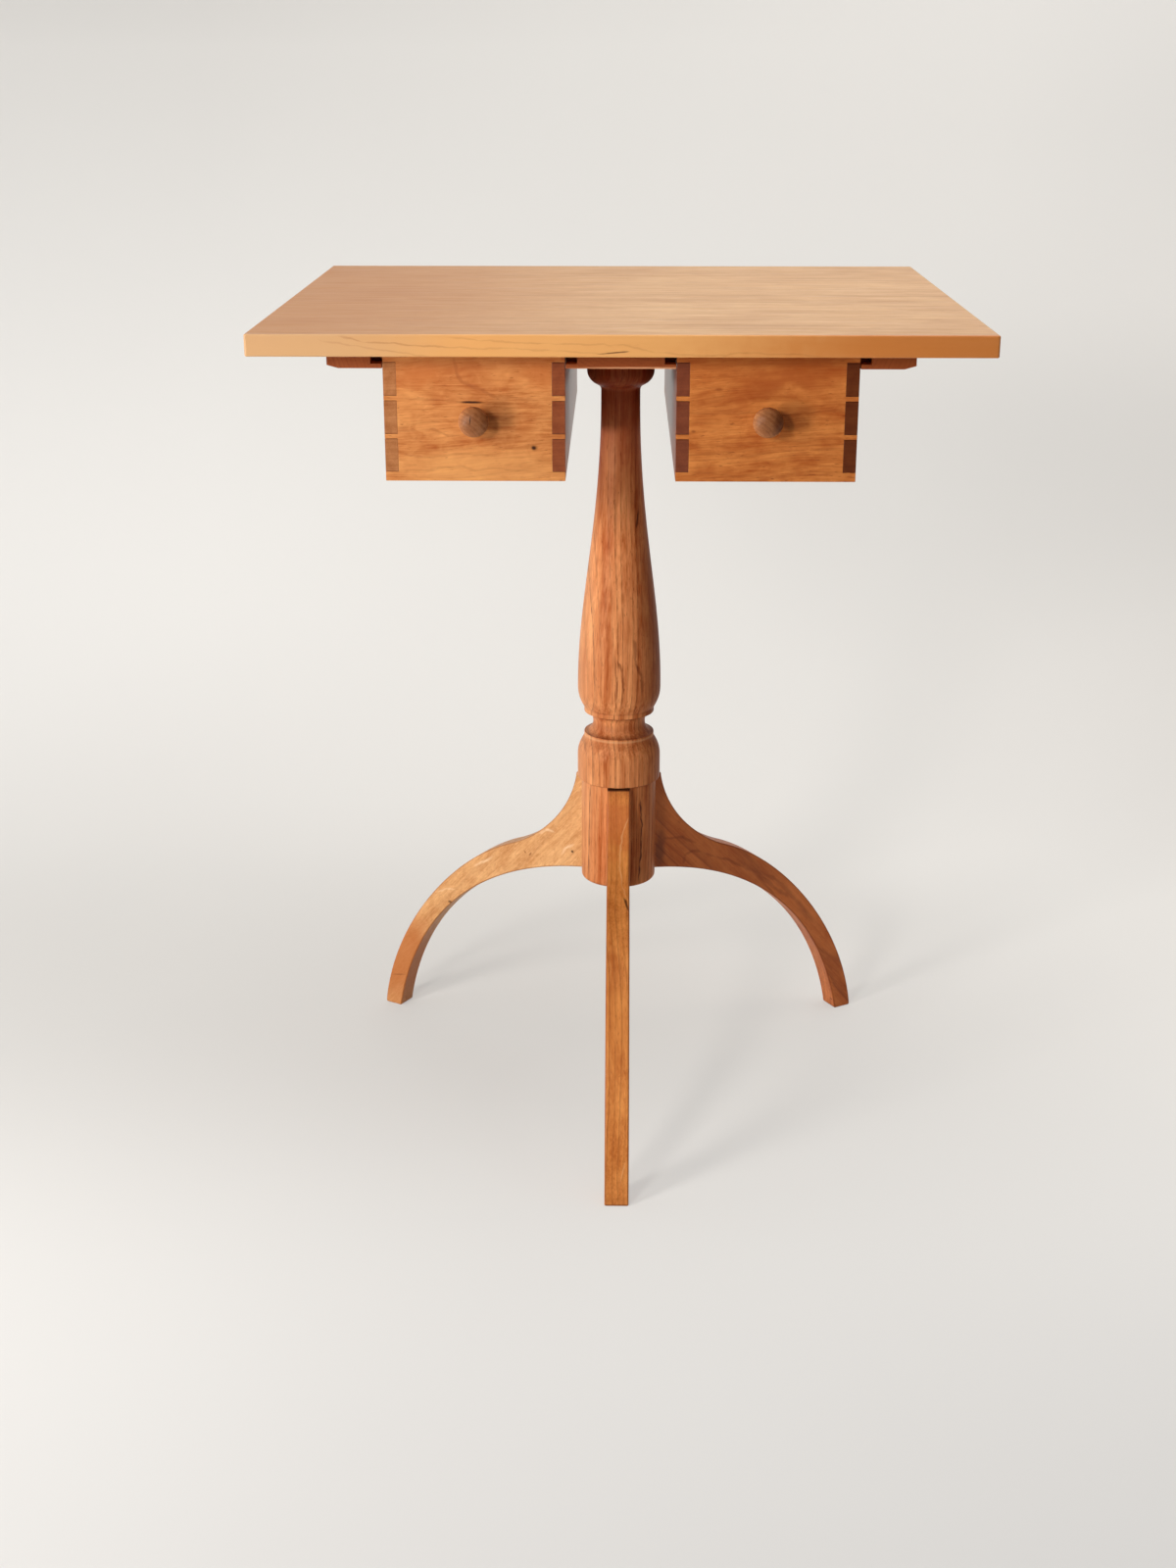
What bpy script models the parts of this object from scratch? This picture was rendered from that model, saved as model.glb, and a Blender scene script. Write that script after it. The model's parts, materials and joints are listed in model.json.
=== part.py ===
"""A sewing stand: two drawers that hang under a plain top, on a turned column with three curved legs.

Metres, +Z up. The front of the stand faces -Y, and the origin is on the floor under the middle of the
stand's outline. Everything is modelled about the column's axis, which an empty carries.
"""

import math

import bmesh
import bpy
import numpy as np
from mathutils import Matrix

# Top and overall height
STAND_HEIGHT = 0.6604
TOP_WIDTH = 0.508
TOP_DEPTH = 0.4572
TOP_THICK = 0.015
TOP_EASE = 0.0012

# Fits: glued joints, pieces that rest on each other, and the drawers' running clearance
GLUE_GAP = 0.0002
SEAT_GAP = 0.0003
RUN_GAP = 0.0005

# How far the top stands out past the outer runners, and past the drawers' faces
SIDE_OVERHANG = 0.051
END_OVERHANG = 0.0311

# Runners under the top
RUNNER_THICK = 0.012
GROOVE_HEIGHT = 0.009
GROOVE_DEPTH = 0.0078
CENTRE_RUNNER_WIDTH = 0.076
OUTER_RUNNER_WIDTH = 0.038
RELIEF_WIDTH = 0.008
RELIEF_HEIGHT = 0.0022

# Drawers
DRAWER_HEIGHT = 0.089
DRAWER_TOP_GAP = 0.0012
END_THICK = 0.0125
SIDE_THICK = 0.009
BOTTOM_THICK = 0.006
BOTTOM_RISE = 0.009
PANEL_TONGUE = 0.0045
TAIL_COUNT = 3
HALF_PIN = 0.0065
PIN_WIDTH = 0.0034
TAIL_SLOPE = 1 / 7
FLANGE_TOP_GAP = 0.0008
FLANGE_SETBACK = 0.014
FLANGE_EASE = 0.0006

# Knobs
KNOB_RADIUS = 0.0105
KNOB_NECK_RADIUS = 0.0052
KNOB_FOOT_RADIUS = 0.0066
KNOB_TENON_RADIUS = 0.004
KNOB_REACH = 0.0195
KNOB_RIM_REACH = 0.0128
KNOB_NECK_REACH = 0.0045
KNOB_DROP = 0.001

# Shape of the knob's curves: each handle as a share of its own reach
KNOB_RIM_PULL = 0.4
KNOB_NECK_PULL = 0.45
KNOB_STEM_PULL = 0.5
KNOB_FOOT_PULL = 0.3

# Wood screws through the runners
SCREW_HEAD_RADIUS = 0.004
SCREW_HEAD_HEIGHT = 0.0026
SCREW_SHANK_RADIUS = 0.0021
SCREW_TIP_RADIUS = 0.0005
SCREW_TAPER = 0.006
SCREW_BITE = 0.0095
SCREW_SLOT_WIDTH = 0.0011
SCREW_SLOT_DEPTH = 0.0009
SCREW_END_MARGIN = 0.055
OUTER_RUNNER_SCREWS = 3
CENTRE_SCREW_SPREAD = 0.038

# Column, from the top down
TENON_RADIUS = 0.0125
CAPITAL_RADIUS = 0.0265
CAPITAL_COLLAR = 0.0293
BOWL_HEIGHT = 0.0123
BOWL_SPREAD = 0.0141
NECK_FILLET = 0.0028
NECK_RADIUS = 0.0154
BELLY_RADIUS = 0.0341
VASE_FOOT_RADIUS = 0.0286
COVE_RADIUS = 0.0214
RING_RADIUS = 0.0288
BARREL_STEP = 0.0033
DRUM_RADIUS = 0.031
DRUM_NOSE = 0.0035

# Column, heights of its members
NECK_LENGTH = 0.006
VASE_ROUND_HEIGHT = 0.0179
FILLET_HEIGHT = 0.0038
COVE_HEIGHT = 0.0176
BARREL_ROUND_HEIGHT = 0.0167
BARREL_HEIGHT = 0.0199
BARREL_EASE = 0.0015
DRUM_HEIGHT = 0.0898
DRUM_FLOOR_GAP = 0.1765

# Shape of the column's curves: each handle as a share of its own member's height, and the member's slope
SHAFT_NECK_PULL = 0.44
SHAFT_BELLY_PULL = 0.32
VASE_BELLY_PULL = 0.5
VASE_FOOT_PULL = 0.3
BARREL_RING_PULL = 0.35
BARREL_SIDE_PULL = 0.45
ROUND_SLOPE = math.radians(60)

# Wedge in the column's tenon
WEDGE_TOP_THICK = 0.0024
WEDGE_TIP_THICK = 0.001
WEDGE_DEPTH = 0.009

# Legs, each outline in the plane of the leg: reach from the column's axis, and height
LEG_THICK = 0.0187
LEG_EASE = 0.0013
LEG_SPACING = 2 * math.pi / 3
FOOT_REACH = 0.245
FOOT_DEPTH = 0.0172
TIP_REVEAL = 0.0017
KNEE_REACH = 0.104
KNEE_HEIGHT = 0.1872
TIP_ANGLE = math.radians(8.0)
KNEE_ANGLE = math.radians(21.5)
TOE_ANGLE = math.radians(7.5)
ARCH_TOE_ANGLE = math.radians(10.4)
ARCH_TOP_ANGLE = math.radians(8.2)
ARCH_RISE = 0.0034
TIP_PULL = 0.0397
KNEE_PULL_IN = 0.0304
KNEE_PULL_OUT = 0.0649
TOE_PULL = 0.0856
ARCH_TOE_PULL = 0.0804
ARCH_TOP_PULL = 0.1279

# Sliding dovetail of each leg
TONGUE_DEPTH = 0.0105
TONGUE_ROOT = 0.0098
TONGUE_SLOPE = 1 / 6

# Facets: turns of each lathe shape, and stretches of each curve
COLUMN_STEPS = 44
KNOB_STEPS = 20
SCREW_STEPS = 14
BOWL_FACETS = 7
SHAFT_FACETS = 16
ROUND_FACETS = 5
COVE_FACETS = 10
FILLET_FACETS = 3
EASE_FACETS = 2
SWEEP_FACETS = 9
SHIN_FACETS = 12
ARCH_FACETS = 16
KNOB_FACETS = 6
KNOB_FOOT_FACETS = 3

# Workshop limits: welding, joining flat faces, telling an edge from a curve, and the cutters' excess
WELD = 0.00001
FLAT_ANGLE = math.radians(0.05)
SHARP_ANGLE = math.radians(35)
CUT_MARGIN = 0.004

# Places and sizes worked out from those above
UNDERSIDE_Z = STAND_HEIGHT - TOP_THICK
RUNNER_TOP_Z = UNDERSIDE_Z - SEAT_GAP
RUNNER_BOTTOM_Z = UNDERSIDE_Z - RUNNER_THICK
LIP_TOP_Z = UNDERSIDE_Z - GROOVE_HEIGHT
OUTER_RUNNER_X = TOP_WIDTH / 2 - SIDE_OVERHANG - OUTER_RUNNER_WIDTH / 2
DRAWER_WIDTH = OUTER_RUNNER_X - OUTER_RUNNER_WIDTH / 2 - CENTRE_RUNNER_WIDTH / 2 - 2 * RUN_GAP
DRAWER_LENGTH = TOP_DEPTH - 2 * END_OVERHANG
RUNNER_LENGTH = DRAWER_LENGTH
DRAWER_X = CENTRE_RUNNER_WIDTH / 2 + RUN_GAP + DRAWER_WIDTH / 2
DRAWER_Z = UNDERSIDE_Z - DRAWER_TOP_GAP - DRAWER_HEIGHT / 2
TAIL_WIDTH = (DRAWER_HEIGHT - 2 * HALF_PIN - (TAIL_COUNT - 1) * PIN_WIDTH) / TAIL_COUNT
FLANGE_WIDTH = GROOVE_DEPTH - SEAT_GAP
FLANGE_HEIGHT = GROOVE_HEIGHT - SEAT_GAP - FLANGE_TOP_GAP
BARREL_RADIUS = DRUM_RADIUS + BARREL_STEP
DRUM_TOP_Z = DRUM_FLOOR_GAP + DRUM_HEIGHT
LEG_TOP_Z = DRUM_TOP_Z - SEAT_GAP
FRONT_REACH = max(FOOT_REACH, TOP_DEPTH / 2)
COLUMN_Y = (FRONT_REACH - TOP_DEPTH / 2) / 2

# How a flat outline drawn in X and Y is stood up
STAND_ACROSS = Matrix(((1, 0, 0), (0, 0, -1), (0, 1, 0))).to_4x4()
STAND_ALONG = Matrix(((0, 0, 1), (1, 0, 0), (0, 1, 0))).to_4x4()
STAND_FORWARD = Matrix(((0, 0, -1), (-1, 0, 0), (0, 1, 0))).to_4x4()
HALF_TURN = (0, 0, math.pi)


def clear_scene():
    """Remove what the start-up scene holds."""
    for obj in list(bpy.data.objects):
        bpy.data.objects.remove(obj, do_unlink=True)


def new_collection(name):
    """A collection linked to the scene."""
    group = bpy.data.collections.new(name)
    bpy.context.scene.collection.children.link(group)
    return group


def wood(name, colour, roughness):
    """A plain finish with the colour of one kind of wood."""
    made = bpy.data.materials.new(name)
    made.use_nodes = True
    shader = made.node_tree.nodes["Principled BSDF"]
    shader.inputs["Base Color"].default_value = (*colour, 1.0)
    shader.inputs["Roughness"].default_value = roughness
    return made


def metal(name, colour, roughness):
    """The finish of a metal piece."""
    made = wood(name, colour, roughness)
    made.node_tree.nodes["Principled BSDF"].inputs["Metallic"].default_value = 1.0
    return made


def box_mesh(name, size, centre=(0, 0, 0)):
    """A box of the given size, from a cube primitive."""
    bm = bmesh.new()
    bmesh.ops.create_cube(bm, size=1.0)
    bmesh.ops.scale(bm, vec=size, verts=bm.verts)
    bmesh.ops.translate(bm, vec=centre, verts=bm.verts)
    mesh = bpy.data.meshes.new(name)
    bm.to_mesh(mesh)
    bm.free()
    return mesh


def baked_mesh(obj):
    """The object's evaluated shape as a welded mesh, with flat faces joined up. The object is removed."""
    name = obj.name
    bpy.context.view_layer.update()
    graph = bpy.context.evaluated_depsgraph_get()
    mesh = bpy.data.meshes.new_from_object(obj.evaluated_get(graph))
    bpy.data.objects.remove(obj, do_unlink=True)
    bm = bmesh.new()
    bm.from_mesh(mesh)
    bmesh.ops.remove_doubles(bm, verts=bm.verts, dist=WELD)
    bmesh.ops.dissolve_limit(bm, angle_limit=FLAT_ANGLE, verts=bm.verts, edges=bm.edges)
    bm.to_mesh(mesh)
    bm.free()
    mesh.name = name
    return mesh


def outline_mesh(name, loops, thickness, stand):
    """Flat outlines, each a list of (x, y) corners, given a thickness and stood up by a matrix."""
    curve = bpy.data.curves.new(name, "CURVE")
    curve.dimensions = "2D"
    curve.fill_mode = "BOTH"
    curve.extrude = thickness / 2
    for loop in loops:
        spline = curve.splines.new("POLY")
        spline.points.add(len(loop) - 1)
        spline.use_cyclic_u = True
        for point, (x, y) in zip(spline.points, loop):
            point.co = (x, y, 0, 1)
    drawn = bpy.data.objects.new(name, curve)
    bpy.context.scene.collection.objects.link(drawn)
    mesh = baked_mesh(drawn)
    mesh.transform(stand)
    return mesh


def turned_object(name, profile, steps, group):
    """A lathe shape: a profile of (radius, height) from top to bottom, spun about Z."""
    mesh = bpy.data.meshes.new(name)
    points = [(radius, 0.0, height) for radius, height in profile]
    edges = [(i, i + 1) for i in range(len(points) - 1)]
    mesh.from_pydata(points, edges, [])
    obj = bpy.data.objects.new(name, mesh)
    group.objects.link(obj)
    spin = obj.modifiers.new("Lathe", "SCREW")
    spin.steps = steps
    spin.render_steps = steps
    spin.use_merge_vertices = True
    spin.merge_threshold = WELD
    spin.use_smooth_shade = True
    return obj


def put(name, mesh, group, finish, parent, location=(0, 0, 0), rotation=(0, 0, 0)):
    """Place a mesh in the scene as one named piece."""
    obj = bpy.data.objects.new(name, mesh)
    group.objects.link(obj)
    return dress(obj, finish, parent, location, rotation)


def dress(obj, finish, parent, location=(0, 0, 0), rotation=(0, 0, 0)):
    """Give a piece its finish, its carrier and its place."""
    if finish is not None and not obj.data.materials:
        obj.data.materials.append(finish)
    obj.parent = parent
    obj.location = location
    obj.rotation_euler = rotation
    return obj


def put_cutter(name, mesh, parent, location=(0, 0, 0), rotation=(0, 0, 0)):
    """Place a mesh that is only there to be taken away from a piece."""
    cutter = put(name, mesh, CUTTERS, None, parent, location, rotation)
    cutter.hide_render = True
    cutter.display_type = "WIRE"
    return cutter


def combine(obj, other, operation):
    """Join another object to a piece with UNION, or take it away with DIFFERENCE."""
    step = obj.modifiers.new(f"{operation} {other.name}", "BOOLEAN")
    step.operation = operation
    step.solver = "EXACT"
    step.object = other


def ease(obj, width, segments=2):
    """Round a piece's sharp edges."""
    step = obj.modifiers.new("Eased edges", "BEVEL")
    step.width = width
    step.segments = segments
    step.limit_method = "ANGLE"
    step.angle_limit = SHARP_ANGLE


def smooth(mesh):
    """Shade a round piece smooth, with its real edges kept sharp."""
    mesh.shade_smooth()
    mesh.set_sharp_from_angle(angle=SHARP_ANGLE)
    return mesh


def workpiece(name, mesh):
    """A piece on the bench, to be shaped and then baked."""
    obj = bpy.data.objects.new(name, mesh)
    bpy.context.scene.collection.objects.link(obj)
    return obj


def shaped_mesh(piece, tools):
    """Bake a piece that the tools have shaped, then clear the tools away."""
    mesh = baked_mesh(piece)
    for tool in tools:
        bpy.data.objects.remove(tool, do_unlink=True)
    return mesh


def bezier(start, start_pull, end_pull, end, count):
    """Points of a cubic curve. Each pull is a handle, given as an offset from its own end."""
    t = np.linspace(0, 1, count + 1)[:, None]
    start = np.array(start)
    end = np.array(end)
    first = start + np.array(start_pull)
    last = end + np.array(end_pull)
    curve = (1 - t) ** 3 * start + 3 * (1 - t) ** 2 * t * first + 3 * (1 - t) * t**2 * last + t**3 * end
    return [tuple(point) for point in curve]


def arc(centre, radius_x, radius_y, start, stop, count):
    """Points of an elliptical arc between two angles in degrees."""
    angles = np.radians(np.linspace(start, stop, count + 1))
    return [(centre[0] + radius_x * math.cos(a), centre[1] + radius_y * math.sin(a)) for a in angles]


def pull(length, angle):
    """A handle of a given length, at an angle from +X."""
    return (length * math.cos(angle), length * math.sin(angle))


# Screws


def screw_profile(grow):
    """Profile of a countersunk wood screw, point up, its head's face at height zero."""
    length = RUNNER_THICK + SCREW_BITE
    return [
        (0, length + grow),
        (SCREW_TIP_RADIUS + grow, length + grow),
        (SCREW_SHANK_RADIUS + grow, length - SCREW_TAPER),
        (SCREW_SHANK_RADIUS + grow, SCREW_HEAD_HEIGHT),
        (SCREW_HEAD_RADIUS + grow, 0),
    ]


def screw_mesh():
    """One screw, with the driver slot cut across its head."""
    profile = screw_profile(0) + [(0, 0)]
    screw = turned_object("screw", profile, SCREW_STEPS, bpy.context.scene.collection)
    slot_size = (4 * SCREW_HEAD_RADIUS, SCREW_SLOT_WIDTH, 2 * SCREW_SLOT_DEPTH)
    slot = workpiece("screw_slot", box_mesh("screw_slot", slot_size))
    combine(screw, slot, "DIFFERENCE")
    return smooth(shaped_mesh(screw, [slot]))


def screw_places():
    """Name and (x, y) of every runner screw."""
    places = {}
    span = RUNNER_LENGTH / 2 - SCREW_END_MARGIN
    body_x = OUTER_RUNNER_X + GROOVE_DEPTH / 2
    for i, y in enumerate(np.linspace(-span, span, OUTER_RUNNER_SCREWS), start=1):
        places[f"left_runner_screw_{i}"] = (-body_x, y)
        places[f"right_runner_screw_{i}"] = (body_x, y)
    corners = [(x, y) for y in (-span, span) for x in (-1, 1)]
    for i, (side, y) in enumerate(corners, start=1):
        places[f"centre_runner_screw_{i}"] = (side * CENTRE_SCREW_SPREAD / 2, y)
    return places


def screw_holes_mesh(places):
    """All the screws' holes in one mesh: a countersink, a clearance hole and a pilot hole each."""
    flare = SCREW_HEAD_RADIUS + GLUE_GAP
    profile = screw_profile(GLUE_GAP) + [(flare, -CUT_MARGIN), (0, -CUT_MARGIN)]
    hole = baked_mesh(turned_object("hole", profile, SCREW_STEPS, bpy.context.scene.collection))
    bm = bmesh.new()
    for x, y in places.values():
        copy = hole.copy()
        copy.transform(Matrix.Translation((x, y, RUNNER_BOTTOM_Z)))
        bm.from_mesh(copy)
        bpy.data.meshes.remove(copy)
    mesh = bpy.data.meshes.new("screw_holes")
    bm.to_mesh(mesh)
    bm.free()
    return mesh


# Top and runners


def build_top(holes):
    """The top: one flat panel with eased edges and blind pilot holes."""
    centre = (0, 0, STAND_HEIGHT - TOP_THICK / 2)
    mesh = box_mesh("table_top", (TOP_WIDTH, TOP_DEPTH, TOP_THICK))
    top = put("table_top", mesh, PARTS, CHERRY_PALE, STAND, centre)
    ease(top, TOP_EASE)
    combine(top, holes, "DIFFERENCE")


def build_centre_runner(holes):
    """The bearer over the column, grooved along both upper edges, with a hole for the tenon."""
    edge = CENTRE_RUNNER_WIDTH / 2
    wall = edge - GROOVE_DEPTH
    right = [
        (wall, RUNNER_TOP_Z),
        (wall, LIP_TOP_Z),
        (edge, LIP_TOP_Z),
        (edge, RUNNER_BOTTOM_Z),
    ]
    left = [(-x, z) for x, z in reversed(right)]
    mesh = outline_mesh("centre_runner", [right + left], RUNNER_LENGTH, STAND_ACROSS)
    runner = put("centre_runner", mesh, PARTS, CHERRY_DARK, STAND)
    bore_profile = [
        (0, UNDERSIDE_Z + CUT_MARGIN),
        (TENON_RADIUS + GLUE_GAP, UNDERSIDE_Z + CUT_MARGIN),
        (TENON_RADIUS + GLUE_GAP, RUNNER_BOTTOM_Z - CUT_MARGIN),
        (0, RUNNER_BOTTOM_Z - CUT_MARGIN),
    ]
    bore = baked_mesh(turned_object("tenon_bore", bore_profile, COLUMN_STEPS, CUTTERS))
    combine(runner, put_cutter("tenon_bore", bore, STAND), "DIFFERENCE")
    combine(runner, holes, "DIFFERENCE")


def build_outer_runners(holes):
    """The two L-section bearers. The left one is the right one turned round."""
    half = OUTER_RUNNER_WIDTH / 2
    wall = -half + GROOVE_DEPTH
    section = [
        (wall, RUNNER_TOP_Z),
        (wall, LIP_TOP_Z),
        (-half, LIP_TOP_Z),
        (-half, RUNNER_BOTTOM_Z),
        (half - RELIEF_WIDTH, RUNNER_BOTTOM_Z),
        (half, RUNNER_BOTTOM_Z + RELIEF_HEIGHT),
        (half, RUNNER_TOP_Z),
    ]
    mesh = outline_mesh("outer_runner", [section], RUNNER_LENGTH, STAND_ACROSS)
    right = put("right_outer_runner", mesh, PARTS, CHERRY_DARK, STAND, (OUTER_RUNNER_X, 0, 0))
    left = put("left_outer_runner", mesh, PARTS, CHERRY_DARK, STAND, (-OUTER_RUNNER_X, 0, 0), HALF_TURN)
    combine(right, holes, "DIFFERENCE")
    combine(left, holes, "DIFFERENCE")


# Column


def column_profile():
    """The turned outline, from the tenon's end down to the foot of the drum."""
    shoulder_z = RUNNER_BOTTOM_Z - SEAT_GAP
    bowl_top_z = shoulder_z - CAPITAL_COLLAR
    bowl_centre = (CAPITAL_RADIUS - BOWL_SPREAD, bowl_top_z)
    barrel_bottom_z = DRUM_TOP_Z
    barrel_top_z = barrel_bottom_z + BARREL_HEIGHT
    ring_bottom_z = barrel_top_z + BARREL_ROUND_HEIGHT
    cove_bottom_z = ring_bottom_z + FILLET_HEIGHT
    cove_top_z = cove_bottom_z + COVE_HEIGHT
    vase_foot_z = cove_top_z + FILLET_HEIGHT
    belly_z = vase_foot_z + VASE_ROUND_HEIGHT

    tenon = [(0, RUNNER_TOP_Z), (TENON_RADIUS, RUNNER_TOP_Z), (TENON_RADIUS, shoulder_z)]
    neck_angle = math.degrees(math.acos((NECK_RADIUS + NECK_FILLET - bowl_centre[0]) / BOWL_SPREAD))
    bowl = arc(bowl_centre, BOWL_SPREAD, BOWL_HEIGHT, 0, -neck_angle, BOWL_FACETS)
    neck_top_z = bowl[-1][1] - NECK_FILLET
    fillet_centre = (NECK_RADIUS + NECK_FILLET, neck_top_z)
    fillet = arc(fillet_centre, NECK_FILLET, NECK_FILLET, 90, 180, FILLET_FACETS)[1:]
    shaft_top_z = neck_top_z - NECK_LENGTH
    shaft_length = shaft_top_z - belly_z
    shaft = bezier(
        (NECK_RADIUS, shaft_top_z),
        (0, -SHAFT_NECK_PULL * shaft_length),
        (0, SHAFT_BELLY_PULL * shaft_length),
        (BELLY_RADIUS, belly_z),
        SHAFT_FACETS,
    )
    round_under = bezier(
        (BELLY_RADIUS, belly_z),
        (0, -VASE_BELLY_PULL * VASE_ROUND_HEIGHT),
        pull(VASE_FOOT_PULL * VASE_ROUND_HEIGHT, ROUND_SLOPE),
        (VASE_FOOT_RADIUS, vase_foot_z),
        ROUND_FACETS,
    )[1:]
    cove_centre = (VASE_FOOT_RADIUS, (cove_top_z + cove_bottom_z) / 2)
    cove = arc(cove_centre, VASE_FOOT_RADIUS - COVE_RADIUS, COVE_HEIGHT / 2, 90, 270, COVE_FACETS)
    ring = [(RING_RADIUS, cove_bottom_z)]
    round_over = bezier(
        (RING_RADIUS, ring_bottom_z),
        pull(BARREL_RING_PULL * BARREL_ROUND_HEIGHT, -ROUND_SLOPE),
        (0, BARREL_SIDE_PULL * BARREL_ROUND_HEIGHT),
        (BARREL_RADIUS, barrel_top_z),
        ROUND_FACETS,
    )
    barrel_edge = (BARREL_RADIUS - BARREL_EASE, barrel_bottom_z + BARREL_EASE)
    barrel = arc(barrel_edge, BARREL_EASE, BARREL_EASE, 0, -90, EASE_FACETS)
    nose_centre = (DRUM_RADIUS - DRUM_NOSE, DRUM_FLOOR_GAP + DRUM_NOSE)
    nose = arc(nose_centre, DRUM_NOSE, DRUM_NOSE, 0, -90, FILLET_FACETS)
    drum = [(DRUM_RADIUS, barrel_bottom_z)] + nose
    capital = [(CAPITAL_RADIUS, shoulder_z)] + bowl + fillet
    foot = [(0, DRUM_FLOOR_GAP)]
    return tenon + capital + shaft + round_under + cove + ring + round_over + barrel + drum + foot


def wedge_outline(grow):
    """Outline in Y and Z of the wedge, or of the kerf for it, which runs out past the tenon's end."""
    rise = CUT_MARGIN if grow else 0
    taper = (WEDGE_TOP_THICK - WEDGE_TIP_THICK) / 2 / WEDGE_DEPTH
    top = RUNNER_TOP_Z + rise
    bottom = RUNNER_TOP_Z - WEDGE_DEPTH - grow
    half_top = WEDGE_TOP_THICK / 2 + rise * taper + grow
    half_tip = WEDGE_TIP_THICK / 2 + grow
    return [(half_top, top), (half_tip, bottom), (-half_tip, bottom), (-half_top, top)]


def tongue_outline(grow, reach):
    """Plan of a leg's dovetail, or of its socket, out to a reach from the column's axis."""
    end = DRUM_RADIUS - TONGUE_DEPTH - grow
    half_end = TONGUE_ROOT / 2 + TONGUE_DEPTH * TONGUE_SLOPE + grow
    half_reach = TONGUE_ROOT / 2 + (DRUM_RADIUS - reach) * TONGUE_SLOPE + grow
    return [(-half_end, -end), (-half_reach, -reach), (half_reach, -reach), (half_end, -end)]


def leg_turns():
    """Names of the legs and how far each is turned about the column."""
    return {"front_leg": 0, "right_leg": LEG_SPACING, "left_leg": -LEG_SPACING}


def build_column():
    """The turned column, kerfed for the wedge and with a dovetail socket for each leg."""
    column = turned_object("column", column_profile(), COLUMN_STEPS, PARTS)
    dress(column, CHERRY_RED, STAND)
    kerf_length = 2 * (TENON_RADIUS + CUT_MARGIN)
    kerf = outline_mesh("wedge_kerf", [wedge_outline(GLUE_GAP)], kerf_length, STAND_ALONG)
    combine(column, put_cutter("wedge_kerf", kerf, STAND), "DIFFERENCE")
    plan = tongue_outline(GLUE_GAP, DRUM_RADIUS + CUT_MARGIN)
    socket_height = DRUM_HEIGHT + CUT_MARGIN
    socket = outline_mesh("leg_socket", [plan], socket_height, Matrix.Identity(4))
    socket_z = DRUM_TOP_Z - socket_height / 2
    for name, turn in leg_turns().items():
        cutter = put_cutter(f"{name}_socket", socket, STAND, (0, 0, socket_z), (0, 0, turn))
        combine(column, cutter, "DIFFERENCE")


def build_wedge():
    """The wedge that spreads the tenon in the centre runner."""
    width = 2 * (TENON_RADIUS - GLUE_GAP)
    mesh = outline_mesh("tenon_wedge", [wedge_outline(0)], width, STAND_ALONG)
    put("tenon_wedge", mesh, PARTS, WALNUT, STAND)


# Legs


def leg_outline():
    """Outline of a leg in its own plane: the sweep to the knee, down to the toe, and back under the arch."""
    inside = DRUM_RADIUS - TONGUE_DEPTH / 2
    tip = (BARREL_RADIUS + TIP_REVEAL, LEG_TOP_Z)
    knee = (KNEE_REACH, KNEE_HEIGHT)
    toe = (FOOT_REACH, 0)
    heel = (FOOT_REACH - FOOT_DEPTH, 0)
    spring = (DRUM_RADIUS, DRUM_FLOOR_GAP + ARCH_RISE)
    upright = math.pi / 2
    sweep = bezier(
        tip,
        pull(TIP_PULL, TIP_ANGLE - upright),
        pull(KNEE_PULL_IN, math.pi - KNEE_ANGLE),
        knee,
        SWEEP_FACETS,
    )
    shin = bezier(
        knee,
        pull(KNEE_PULL_OUT, -KNEE_ANGLE),
        pull(TOE_PULL, upright + TOE_ANGLE),
        toe,
        SHIN_FACETS,
    )
    arch = bezier(
        heel,
        pull(ARCH_TOE_PULL, upright + ARCH_TOE_ANGLE),
        pull(ARCH_TOP_PULL, -ARCH_TOP_ANGLE),
        spring,
        ARCH_FACETS,
    )
    return [(inside, LEG_TOP_Z)] + sweep + shin[1:] + arch + [(inside, spring[1])]


def leg_mesh():
    """One leg, its shoulders coped to the drum, with the dovetail tongue that slides up into it."""
    leg = workpiece("leg", outline_mesh("leg", [leg_outline()], LEG_THICK, STAND_FORWARD))
    ease(leg, LEG_EASE)
    reach = DRUM_RADIUS + GLUE_GAP
    low_z = DRUM_FLOOR_GAP - CUT_MARGIN
    high_z = DRUM_TOP_Z + CUT_MARGIN
    drum_profile = [(0, high_z), (reach, high_z), (reach, low_z), (0, low_z)]
    drum = turned_object("drum_cope", drum_profile, COLUMN_STEPS, bpy.context.scene.collection)
    combine(leg, drum, "DIFFERENCE")
    tongue_height = LEG_TOP_Z - DRUM_FLOOR_GAP - ARCH_RISE - 2 * LEG_EASE
    tongue_z = LEG_TOP_Z - LEG_EASE - tongue_height / 2
    plan = tongue_outline(0, DRUM_RADIUS + TIP_REVEAL)
    tongue_shape = outline_mesh("leg_tongue", [plan], tongue_height, Matrix.Translation((0, 0, tongue_z)))
    tongue = workpiece("leg_tongue", tongue_shape)
    combine(leg, tongue, "UNION")
    return smooth(shaped_mesh(leg, [drum, tongue]))


def build_legs():
    """Three like legs, an equal turn apart, one of them straight to the front."""
    mesh = leg_mesh()
    for name, turn in leg_turns().items():
        put(name, mesh, PARTS, CHERRY, STAND, (0, 0, 0), (0, 0, turn))


# Drawers, modelled about the middle of a drawer


def tail_bottoms():
    """Height of each tail's lower edge at the drawer's face, from the drawer's middle."""
    first = -DRAWER_HEIGHT / 2 + HALF_PIN
    return [first + i * (TAIL_WIDTH + PIN_WIDTH) for i in range(TAIL_COUNT)]


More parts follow.
